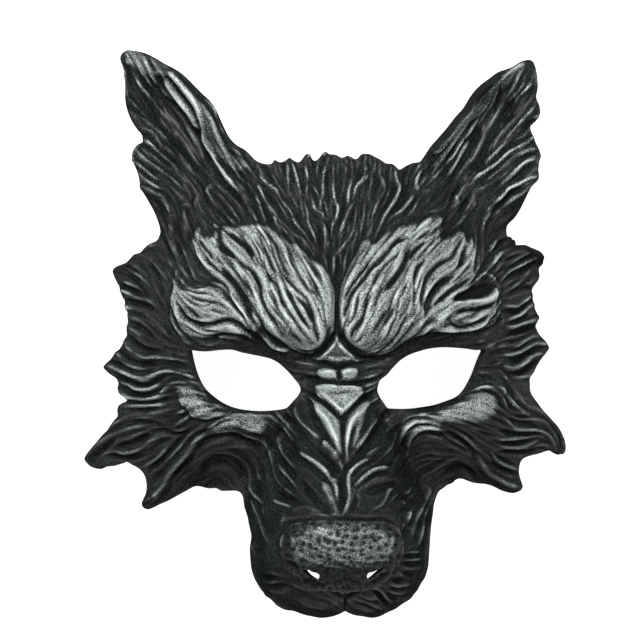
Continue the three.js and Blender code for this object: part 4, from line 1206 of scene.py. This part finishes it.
# How much of the silver is left on the heights of each place, softness of the edge in pixels
# and the path; the next two tables are written the same way
exposurePatches = {
    "brows": (1.0, 14, """196,226 240,222 270,224 300,250 337,300 370,240 420,218 470,240 480,262
        498,290 490,326 420,336 376,354 338,345 300,354 262,334 196,340 174,318 176,280 196,262"""),
    "bridge": (1.0, 10, """322,338 356,338 366,392 372,420 356,470 352,516 330,516 328,470 300,440
        296,404 316,388"""),
    "left cheek": (0.9, 14, "178,382 200,384 226,410 262,416 252,432 214,430 180,446 168,414"),
    "right cheek": (0.95, 14, "432,410 476,388 500,390 496,414 466,426 404,424 404,414"),
    "left ear": (0.95, 14, """116,44 150,50 190,84 216,120 236,150 262,176 250,200 222,200 190,230
        150,230 130,180 120,120"""),
    "right ear": (0.95, 14, """540,46 510,60 470,94 440,130 420,160 430,200 470,230 520,220 544,180
        536,120 544,90"""),
    "crown": (0.8, 14, "270,160 420,160 440,200 420,230 350,262 290,235 250,210"),
    "nose": (0.42, 12, "290,530 396,530 402,558 350,566 284,562"),
}
plainExposure = 0.64

# Places with little silver, as shares of the plain exposure; in the ear cup, the hollows and on the
# downward lip the darker colour is also painted shade
dimAndShadedPatches = {
    "left ear cup": (0.5, 12, "146,92 166,98 196,134 212,170 196,178 176,152 156,124"),
    "muzzle": (0.7, 12, "240,470 290,470 330,500 372,500 400,470 440,470 440,620 230,620"),
    "lip": (0.08, 12, "236,560 276,560 300,590 390,590 400,560 452,560 452,624 236,624"),
    "cheek hollows": (0.45, 16, "100,420 230,420 300,450 300,480 100,480"),
    "right hollows": (0.45, 16, "380,440 440,420 560,420 560,480 400,480"),
}

# Share of the fine hair's depth: full on brows and crown, little on the smooth folds
hairPatches = {
    "muzzle and lip": (0.25, 12, "290,440 410,440 460,500 460,626 230,626 230,500"),
    "left ledge": (0.12, 8, """174,334 204,340 240,342 282,348 310,358 330,350 334,360 300,372
        280,360 240,350 176,346"""),
    "right ledge": (0.12, 8, """338,350 350,352 372,360 398,350 420,340 450,338 480,336 500,326
        500,340 420,348 390,366 350,366"""),
    "bridge": (0.1, 8, """322,338 356,338 366,392 372,420 356,470 352,530 330,530 328,470
        306,440 296,404"""),
    "left ear": (0.75, 12, "110,40 150,44 250,170 230,220 160,240 100,120"),
    "right ear": (0.75, 12, "540,44 500,50 420,170 430,220 500,240 560,120"),
    "left side": (0.5, 14, "96,250 170,250 170,420 300,440 290,480 60,520 60,260"),
    "right side": (0.5, 14, "560,250 500,250 500,420 380,440 390,480 600,520 600,260"),
}

# Colours are linear
finish = {
    "black": (0.0056, 0.0066, 0.0068),
    "silver": (0.535, 0.6, 0.59),
    "inside": (0.016, 0.0165, 0.0175),
    "grainScale": 1900,
    "grainDetail": 3,
    "grainRoughness": 0.6,
    "cloudScale": 90,
    "cloudDetail": 2,
    # Ranges: from low to high, and what they become
    "speck": (0.34, 0.66, -0.36, 0.36),
    "patch": (0.3, 0.7, -0.12, 0.1),
    "speckleByRub": (0.0, 0.35, 0.13, 1.0),
    # the polish attribute also carries painted shade in the grooves and on steep walls
    "specularByPolishAndShade": (0.0, 0.9, 0.0, 0.52),
    "roughnessBySilver": (0.0, 0.8, 0.42, 0.55),
    "metallicBySilver": (0.1, 0.9, 0.0, 0.35),
    "bump": (0.3, 0.0002),  # strength, and depth in metres
    "edgeInside": 0.6,  # share of the inside's finish on the rounded edge
    "shadeByFacing": (0.25, 0.95),  # walls that rise less than this take no specular, painted shade on steep and downward walls
}


flowNet = {
    "step": 3.0,  # pixels
    "spread": ((1.2, 1.0), (3.0, 0.2), (9.0, 0.02), (27.0, 0.001)),  # radius in steps and weight
}


# Direction of the strands everywhere, spread from the strokes; angles are doubled so that a
# strand and its reverse agree
def flowField(flow):
    step = flowNet["step"]
    rows = int((canvas["bottom"] - canvas["top"]) / step) + 2
    cols = int((canvas["right"] - canvas["left"]) / step) + 2
    sums = np.zeros((3, rows, cols))
    for x, y, dx, dy in flow:
        angle = 2 * math.atan2(dy, dx)
        length = math.hypot(dx, dy)
        i, j = int((y - canvas["top"]) / step), int((x - canvas["left"]) / step)
        if 0 <= i < rows and 0 <= j < cols:
            sums[:, i, j] += length * np.array([math.cos(angle), math.sin(angle), 1])
    total = np.zeros_like(sums)
    for radius, share in flowNet["spread"]:
        taps = np.exp(-0.5 * (np.arange(-int(3 * radius), int(3 * radius) + 1) / radius) ** 2)
        wide = np.apply_along_axis(lambda row: np.convolve(row, taps, "same")[:len(row)], 2,
                                   np.pad(sums, ((0, 0), (0, 0), (0, max(0, len(taps) - cols)))))
        wide = wide[:, :, :cols]
        tall = np.apply_along_axis(lambda col: np.convolve(col, taps, "same")[:len(col)], 1,
                                   np.pad(wide, ((0, 0), (0, max(0, len(taps) - rows)), (0, 0))))
        total += share * tall[:, :rows]
    angle = 0.5 * np.arctan2(total[1], total[0])
    cos2 = sampleGrid(np.cos(2 * angle), canvas["left"], canvas["top"], step, canvasX, canvasY)
    sin2 = sampleGrid(np.sin(2 * angle), canvas["left"], canvas["top"], step, canvasX, canvasY)
    return 0.5 * np.arctan2(sin2, cos2)


# Fine strands: seed of the noise, its blur in pixels, turns along the flow, and share
strandLayers = (
    (7, 0.5, 12, 0.55),
    (3, 1.0, 26, 0.75),
)
strandStride = 1.5  # canvas cells a turn
strandLevelling = 5  # pixels


# Noise smeared along the flow
def fineStrands(angle, seed, width, reach):
    noise = np.random.default_rng(seed).normal(size=angle.shape)
    noise = blurred(noise, width)
    rows, cols = angle.shape
    total = noise.copy()
    held = np.nonzero(canvasEdge > -2)
    cosine, sine = np.cos(angle), np.sin(angle)
    for sign in (1, -1):
        i, j = (index.astype(np.float32) for index in held)
        dirX, dirY = cosine[held] * sign, sine[held] * sign
        at = held
        for turn in range(reach):
            here, up = cosine[at], sine[at]
            same = np.where(here * dirX + up * dirY < 0, -1, 1)
            dirX, dirY = here * same, up * same
            j, i = j + strandStride * dirX, i + strandStride * dirY
            at = (np.clip(i, 0, rows - 1).astype(int), np.clip(j, 0, cols - 1).astype(int))
            total[held] += noise[at] * (1 - turn / reach)
    total -= blurred(total, strandLevelling)
    return total / total.std()


nose = {
    "outline": """298,521 320,519.5 343,519 366,520 390,521 398,529 402,540 403,552 400,562 394,572
        384,582 368,590 345,594 322,591 304,583 292,572 284,562 281,550 282,538 288,528""",
    "softness": 8.0,
    "rise": 0.9,
    "pitDepth": 0.85,
    "pitSpacing": 7.6,  # pixels
    "pitRadius": 2.3,
    "pitAcross": (280.0, 406),
    "pitDown": (524.0, 592),
    "lipFrom": 562,  # below this the pits stand closer
    "lipShare": 0.72,
    "pitRow": 0.86,  # from row to row, as a share of the spacing
    "pitJitter": 0.24,
    "pitSteps": (0.85, 1.25),
    "pitSizes": (0.65, 1.3),
    "pitFlat": 1.15,
    "seed": 11,
}


# Pits of the nose leather on a jittered net, smaller towards the lip
def drawPits(mask):
    pits = np.zeros(canvasX.shape)
    chance = np.random.default_rng(nose["seed"])
    jitter = nose["pitJitter"]
    left, right = nose["pitAcross"]
    y, bottom = nose["pitDown"]
    while y < bottom:
        spacing = nose["pitSpacing"] * (1 if y < nose["lipFrom"] else nose["lipShare"])
        x = left + chance.uniform(0, spacing)
        while x < right:
            cx, cy = x + chance.normal() * jitter * spacing, y + chance.normal() * jitter * spacing
            radius = nose["pitRadius"] * spacing / nose["pitSpacing"] * chance.uniform(*nose["pitSizes"])
            window = windowOf(np.array([[cx, cy]]), 3 * radius)
            gap = np.hypot(canvasX[window] - cx, (canvasY[window] - cy) * nose["pitFlat"])
            pits[window] = np.maximum(pits[window], np.exp(-((gap / radius) ** 2)))
            x += spacing * chance.uniform(*nose["pitSteps"])
        y += spacing * nose["pitRow"]
    return pits * mask


# How the drawn layers make the relief, the silver and the polish with its painted shade; pairs
# say where something fades in, by height in millimetres or by depth of a groove or pit
layers = {
    "padSoftness": 9.0,  # pixels
    "coreSoftness": 30.0,
    "padSmooth": 0.4,  # share of the fine hair that is lost there
    "lumpSmooth": 0.8,
    "hairFade": 5,  # pixels from the edge of the mask
    "exposureBlur": 4,
    "levelBlur": 2.6,  # heights are judged against the relief blurred by this
    "heights": (0.25, 1.15),
    "padCover": 0.45,
    "coreCover": 0.6,
    "ragged": 0.35,
    "thin": 0.25,
    "wear": 0.25,
    "wearHeight": 0.66,
    "wearHair": 0.1,
    "wearLump": 0.2,
    "grooveBare": (0.2, 0.8),
    "grooveFade": (0.15, 0.7),
    "grooveDark": 0.85,
    "pitFade": (0.2, 0.8),
    "pitDark": 0.8,
    "polishAndShade": (-0.5, 1.0),
}

flow = []
padMask = np.zeros(canvasX.shape)
padCore = np.zeros(canvasX.shape)
for text in padOutlines.values():
    drawPatch(padMask, text, 1.0, layers["padSoftness"])
    drawPatch(padCore, text, 1.0, layers["coreSoftness"])
lumpMask = np.zeros(canvasX.shape)
lumpRise = np.zeros(canvasX.shape)
for height, cover, softness, text in lumps.values():
    drawPatch(lumpMask, text, cover, softness)
    drawPatch(lumpRise, text, height, softness)
nosePad = np.zeros(canvasX.shape)
drawPatch(nosePad, nose["outline"], 1.0, nose["softness"])
pits = drawPits(nosePad)
crest = np.zeros(canvasX.shape)
for text in crests.values():
    drawStrokes(crest, strokesOf(text), strandProfile, flow)
groove = np.zeros(canvasX.shape)
for text in grooves.values():
    drawStrokes(groove, strokesOf(text), grooveProfile, flow)
print("strokes drawn,", len(flow), "pieces of flow")
strandAngle = flowField(flow)
canvasEdge = edgeDistance(canvasX, canvasY)
strands = sum(share * fineStrands(strandAngle, seed, width, turns)
              for seed, width, turns, share in strandLayers)
print("fine strands ready")

hair = strands * smoothStep(0, layers["hairFade"], canvasEdge)
rise = relief["padRise"] * padMask + lumpRise
rise = rise + relief["crestHeight"] * crest - relief["grooveDepth"] * groove
hairShare = np.ones(canvasX.shape)
for amount, softness, text in hairPatches.values():
    blendPatch(hairShare, text, amount, softness)
hairRise = relief["hairDepth"] * hair * hairShare * (1 - layers["padSmooth"] * padMask)
rise = rise + hairRise * (1 - layers["lumpSmooth"] * lumpMask) * (1 - nosePad)
rise = rise + nose["rise"] * nosePad - nose["pitDepth"] * pits
rise = blurred(rise, relief["softening"])

exposure = np.full(canvasX.shape, plainExposure)
for amount, softness, text in exposurePatches.values():
    drawPatch(exposure, text, amount, softness)
# Less silver, with painted shade in the ear cup, the hollows and on the lip
for amount, softness, text in dimAndShadedPatches.values():
    blendPatch(exposure, text, amount * plainExposure, softness)
exposure = blurred(exposure, layers["exposureBlur"])
proud = rise - blurred(rise, layers["levelBlur"])
rub = smoothStep(*layers["heights"], proud) * exposure
# Silver thins out in strands at the edges of the pads and lumps
cover = np.maximum(padMask * (layers["padCover"] + layers["coreCover"] * padCore), lumpMask)
silvered = cover * (1 + layers["ragged"] * hair * (1 - cover)) - layers["thin"] * (1 - cover)
silvered = np.clip(silvered, 0, 1)
wear = layers["wear"] + layers["wearHeight"] * proud
wear = wear + layers["wearHair"] * hair * (1 - layers["lumpSmooth"] * lumpMask)
wear = wear + layers["wearLump"] * lumpMask
rub = np.maximum(rub, silvered * wear * (1 - smoothStep(*layers["grooveBare"], groove)))
rub = rub * (1 - layers["grooveDark"] * smoothStep(*layers["grooveFade"], groove))
rub = rub * (1 - layers["pitDark"] * smoothStep(*layers["pitFade"], pits))
# More polish on the heights than in the grooves, and painted shade: the grooves take less specular
polishAndShade = smoothStep(*layers["polishAndShade"], proud)
print("canvas ready")


def sampleCanvas(grid, places):
    return sampleGrid(grid, canvas["left"], canvas["top"], canvasStep, places[:, 0], places[:, 1])


# Inside, the skin behind the nostrils moves towards the lip, so that a view line passes through them
nostrils = {"centre": (344, 573), "reach": (54, 17), "shift": 6.5}  # pixels


# Nets of the normals in millimetres, and the rings of the rounded edge: how far they are from
# outside to inside, and how far they stand out
wallShape = {
    "outerReach": 1.2,
    "innerReach": 3.0,
    "rings": ((0.12, 0.72), (0.4, 1.0), (0.75, 0.85)),
}


# The moulding: sculpted outside, rounded edge, smooth inside
def moulding():
    count = len(edgePoints)
    outer = layOnForm(outerPlaces[:, 0], outerPlaces[:, 1])
    outerNormals = normalsAt(outer[:, 0], outer[:, 1], wallShape["outerReach"])
    shift = nostrils["shift"] * np.exp(-sum(
        ((innerPlaces[:, k] - nostrils["centre"][k]) / nostrils["reach"][k]) ** 4 for k in (0, 1)))
    inner = layOnForm(innerPlaces[:, 0], innerPlaces[:, 1] + shift)
    innerNormals = normalsAt(inner[:, 0], inner[:, 1], wallShape["innerReach"])
    wall = maskSizes["wall"]
    sculpted = outer + outerNormals * sampleCanvas(rise, outerPlaces)[:, None]
    smooth = inner - innerNormals * wall
    lowest = maskSizes["lowest"]
    sculpted[:, 2] = np.where(sculpted[:, 2] < lowest + 1,
                              smoothMax(sculpted[:, 2], lowest, 1.0), sculpted[:, 2])
    smooth[:, 2] = np.maximum(smooth[:, 2], 0)
    # rings of the rounded edge, from the sculpted side to the smooth one
    rings = []
    first = 0
    outward = np.zeros((count, 3))
    for loop in loops:
        n = len(loop)
        span = slice(first, first + n)
        run = np.roll(outer[span], -1, axis=0) - np.roll(outer[span], 1, axis=0)
        across = np.cross(run, outerNormals[span])
        outward[span] = across / np.linalg.norm(across, axis=1, keepdims=True)
        first += n
    proudBy = netSizes["edgeInset"] * photoView["mmPerPixel"]
    for share, out in wallShape["rings"]:
        ring = sculpted[:count] * (1 - share) + smooth[:count] * share
        ring = ring + outward * proudBy * out
        ring[:, 2] = np.maximum(ring[:, 2], 0)
        rings.append(ring)
    vertices = np.concatenate([sculpted, *rings, smooth])
    starts = [0, len(sculpted), len(sculpted) + count, len(sculpted) + 2 * count,
              len(sculpted) + 3 * count]
    faces = [outerFaces, innerFaces[:, ::-1] + starts[4]]
    first = 0
    for loop in loops:
        n = len(loop)
        here = first + np.arange(n)
        after = first + (np.arange(n) + 1) % n
        for low, high in zip(starts[:-1], starts[1:]):
            faces.append(np.stack([here + low, here + high, after + high], -1))
            faces.append(np.stack([here + low, after + high, after + low], -1))
        first += n
    places = np.concatenate([outerPlaces, *[edgePoints] * 3, innerPlaces])
    isInside = np.zeros(len(vertices))
    isInside[starts[4]:] = 1
    isInside[starts[2]:starts[4]] = finish["edgeInside"]
    return vertices, np.concatenate(faces), places, isInside


def meshObject(name, vertices, faces):
    mesh = bpy.data.meshes.new(name)
    mesh.vertices.add(len(vertices))
    mesh.vertices.foreach_set("co", (vertices * mm).astype(np.float32).ravel())
    mesh.loops.add(3 * len(faces))
    mesh.loops.foreach_set("vertex_index", faces.astype(np.int32).ravel())
    mesh.polygons.add(len(faces))
    mesh.polygons.foreach_set("loop_start", np.arange(0, 3 * len(faces), 3, dtype=np.int32))
    mesh.update(calc_edges=True)
    mesh.polygons.foreach_set("use_smooth", np.ones(len(faces), bool))
    mesh.validate()
    thing = bpy.data.objects.new(name, mesh)
    bpy.context.scene.collection.objects.link(thing)
    return thing


def addAttribute(thing, name, values):
    attribute = thing.data.attributes.new(name, "FLOAT", "POINT")
    attribute.data.foreach_set("value", values.astype(np.float32))


def nodeMaterial(name):
    material = bpy.data.materials.new(name)
    material.use_nodes = True
    tree = material.node_tree
    return material, tree, tree.nodes["Principled BSDF"]


def addNode(tree, kind, **settings):
    node = tree.nodes.new(kind)
    for key, value in settings.items():
        setattr(node, key, value)
    return node


def mixColour(tree, factor, a, b):
    mix = addNode(tree, "ShaderNodeMix", data_type="RGBA")
    tree.links.new(factor, mix.inputs["Factor"])
    for socket, value in ((mix.inputs[6], a), (mix.inputs[7], b)):
        if isinstance(value, tuple):
            socket.default_value = (*value, 1)
        else:
            tree.links.new(value, socket)
    return mix.outputs[2]


def mathNode(tree, operation, a, b=None, clamp=False):
    node = addNode(tree, "ShaderNodeMath", operation=operation, use_clamp=clamp)
    for socket, value in zip(node.inputs, (a, b)):
        if value is None:
            continue
        if isinstance(value, (int, float)):
            socket.default_value = value
        else:
            tree.links.new(value, socket)
    return node.outputs[0]


def ranged(tree, value, low, high, outLow, outHigh):
    node = addNode(tree, "ShaderNodeMapRange", interpolation_type="SMOOTHSTEP")
    tree.links.new(value, node.inputs["Value"])
    for name, number in (("From Min", low), ("From Max", high), ("To Min", outLow), ("To Max", outHigh)):
        node.inputs[name].default_value = number
    return node.outputs["Result"]


def addBump(tree, shader, height, strength, depth):
    bump = addNode(tree, "ShaderNodeBump")
    bump.inputs["Strength"].default_value = strength
    bump.inputs["Distance"].default_value = depth
    tree.links.new(height, bump.inputs["Height"])
    tree.links.new(bump.outputs["Normal"], shader.inputs["Normal"])


def attributeAt(tree, name):
    return addNode(tree, "ShaderNodeAttribute", attribute_name=name).outputs["Fac"]


# Dry-brushed paint: fine speckle that breaks up the silver, and the grain of the moulding
def speckleGroup():
    group = bpy.data.node_groups.new("dryBrushSpeckle", "ShaderNodeTree")
    group.interface.new_socket("Rub", in_out="INPUT", socket_type="NodeSocketFloat")
    group.interface.new_socket("Scale", in_out="INPUT", socket_type="NodeSocketFloat")
    group.interface.new_socket("Silver", in_out="OUTPUT", socket_type="NodeSocketFloat")
    group.interface.new_socket("Grain", in_out="OUTPUT", socket_type="NodeSocketFloat")
    start = addNode(group, "NodeGroupInput")
    end = addNode(group, "NodeGroupOutput")
    where = addNode(group, "ShaderNodeTexCoord")
    fine = addNode(group, "ShaderNodeTexNoise", noise_dimensions="3D")
    fine.inputs["Detail"].default_value = finish["grainDetail"]
    fine.inputs["Roughness"].default_value = finish["grainRoughness"]
    group.links.new(where.outputs["Object"], fine.inputs["Vector"])
    group.links.new(start.outputs["Scale"], fine.inputs["Scale"])
    cloud = addNode(group, "ShaderNodeTexNoise", noise_dimensions="3D")
    cloud.inputs["Scale"].default_value = finish["cloudScale"]
    cloud.inputs["Detail"].default_value = finish["cloudDetail"]
    group.links.new(where.outputs["Object"], cloud.inputs["Vector"])
    speck = ranged(group, fine.outputs["Fac"], *finish["speck"])
    patch = ranged(group, cloud.outputs["Fac"], *finish["patch"])
    amount = mathNode(group, "MULTIPLY", mathNode(group, "ADD", speck, patch),
                      ranged(group, start.outputs["Rub"], *finish["speckleByRub"]))
    silver = mathNode(group, "ADD", start.outputs["Rub"], amount, clamp=True)
    group.links.new(silver, end.inputs["Silver"])
    group.links.new(fine.outputs["Fac"], end.inputs["Grain"])
    return group


speckle = speckleGroup()


def shellMaterial():
    material, tree, shader = nodeMaterial("rubbed black resin")
    paint = addNode(tree, "ShaderNodeGroup", node_tree=speckle)
    tree.links.new(attributeAt(tree, "rub"), paint.inputs["Rub"])
    paint.inputs["Scale"].default_value = finish["grainScale"]
    silver, grain = paint.outputs["Silver"], paint.outputs["Grain"]
    coloured = mixColour(tree, silver, finish["black"], finish["silver"])
    colour = mixColour(tree, attributeAt(tree, "inside"), coloured, finish["inside"])
    tree.links.new(colour, shader.inputs["Base Color"])
    # Specular level from the polish attribute, which holds worn polish and painted shade
    for value, setting, name in (
        (attributeAt(tree, "polishAndShade"), "specularByPolishAndShade", "Specular IOR Level"),
        (silver, "roughnessBySilver", "Roughness"),
        (silver, "metallicBySilver", "Metallic"),
    ):
        tree.links.new(ranged(tree, value, *finish[setting]), shader.inputs[name])
    addBump(tree, shader, grain, *finish["bump"])
    return material


foam = {
    "cellScale": 1500,
    "cloudScale": 300,
    "dark": (0.012, 0.012, 0.013),
    "light": (0.03, 0.03, 0.032),
    "roughness": (0.2, 0.8, 0.72, 0.9),
    "bump": (0.4, 0.0002),
}


def padMaterial():
    material, tree, shader = nodeMaterial("black foam rubber")
    where = addNode(tree, "ShaderNodeTexCoord").outputs["Object"]
    cells = addNode(tree, "ShaderNodeTexVoronoi")
    cells.inputs["Scale"].default_value = foam["cellScale"]
    tree.links.new(where, cells.inputs["Vector"])
    cloud = addNode(tree, "ShaderNodeTexNoise")
    cloud.inputs["Scale"].default_value = foam["cloudScale"]
    tree.links.new(where, cloud.inputs["Vector"])
    tree.links.new(mixColour(tree, cloud.outputs["Fac"], foam["dark"], foam["light"]),
                   shader.inputs["Base Color"])
    tree.links.new(ranged(tree, cloud.outputs["Fac"], *foam["roughness"]), shader.inputs["Roughness"])
    addBump(tree, shader, cells.outputs["Distance"], *foam["bump"])
    return material


vertices, faces, places, isInside = moulding()
shell = meshObject("maskShell", vertices + sculptToFrame, faces)
addAttribute(shell, "rub", sampleCanvas(np.clip(rub, 0, 1), places) * (isInside == 0))
addAttribute(shell, "inside", isInside)
normals = np.empty(3 * len(vertices), np.float32)
shell.data.vertices.foreach_get("normal", normals)
# Painted shade: walls that face sideways and down take less specular
shadeByFacing = smoothStep(*finish["shadeByFacing"], normals[2::3])
addAttribute(shell, "polishAndShade", sampleCanvas(polishAndShade, places) * shadeByFacing * (isInside == 0))
shell.data.materials.append(shellMaterial())
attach(shell, "root")
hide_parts("mask_shell")
print("shell ready,", len(faces), "triangles")

padFinish = padMaterial()
for name in ("strap_pad_left", "strap_pad_right"):
    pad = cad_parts[name]
    pad.data.materials.clear()
    pad.data.materials.append(padFinish)

# Places and sizes of the lights are in metres
studio = {
    "floor": 0.5,
    "floorGlow": 0.95,
    "floorHalf": 9000.0,  # millimetres
    "floorCloud": 40,
    "floorMottle": 0.01,
    "floorRoughness": 0.9,
    "aim": (0, 0, 0.04),
    "seenTo": 20,
    "worldLight": 0.22,
    "key": {"at": (-0.2, 0.8, 1.2), "size": 0.6, "watts": 24},
    "fill": {"at": (0.9, -0.1, 0.9), "size": 0.6, "watts": 5},
    "left": {"at": (-0.95, -0.1, 0.8), "size": 0.6, "watts": 4.5},
}


def floorMaterial():
    material, tree, shader = nodeMaterial("pale paper")
    where = addNode(tree, "ShaderNodeTexCoord").outputs["Object"]
    cloud = addNode(tree, "ShaderNodeTexNoise")
    cloud.inputs["Scale"].default_value = studio["floorCloud"]
    tree.links.new(where, cloud.inputs["Vector"])
    dark, light = studio["floor"], studio["floor"] + studio["floorMottle"]
    tree.links.new(mixColour(tree, cloud.outputs["Fac"], (dark,) * 3, (light,) * 3),
                   shader.inputs["Base Color"])
    shader.inputs["Roughness"].default_value = studio["floorRoughness"]
    shader.inputs["Emission Color"].default_value = (1, 1, 1, 1)
    shader.inputs["Emission Strength"].default_value = studio["floorGlow"]
    return material


def addFloor():
    half = studio["floorHalf"]
    corners = np.array([[-half, -half, 0], [half, -half, 0], [half, half, 0], [-half, half, 0]])
    floor = meshObject("floor", corners, np.array([[0, 1, 2], [0, 2, 3]]))
    floor.data.materials.append(floorMaterial())


def addLight(name, at, size, watts):
    data = bpy.data.lights.new(name, "AREA")
    data.size, data.energy = size, watts
    light = bpy.data.objects.new(name, data)
    bpy.context.scene.collection.objects.link(light)
    light.location = at
    light.rotation_euler = (Vector(studio["aim"]) - Vector(at)).to_track_quat("-Z", "Y").to_euler()


def addCamera():
    data = bpy.data.cameras.new("camera")
    data.sensor_width = 36
    data.lens = focal * data.sensor_width / photoView["pixels"]
    data.clip_end = studio["seenTo"]
    camera = bpy.data.objects.new("camera", data)
    bpy.context.scene.collection.objects.link(camera)
    camera.location = (eye + sculptToFrame) * mm
    camera.rotation_euler = (0, -yaw, 0)
    bpy.context.scene.camera = camera


addFloor()
for name in ("key", "fill", "left"):
    addLight(name, **studio[name])
addCamera()
world = bpy.data.worlds.new("studio")
world.use_nodes = True
world.node_tree.nodes["Background"].inputs["Color"].default_value = (1, 1, 1, 1)
world.node_tree.nodes["Background"].inputs["Strength"].default_value = studio["worldLight"]
bpy.context.scene.world = world
bpy.context.scene.view_settings.view_transform = "Standard"
print("studio ready")
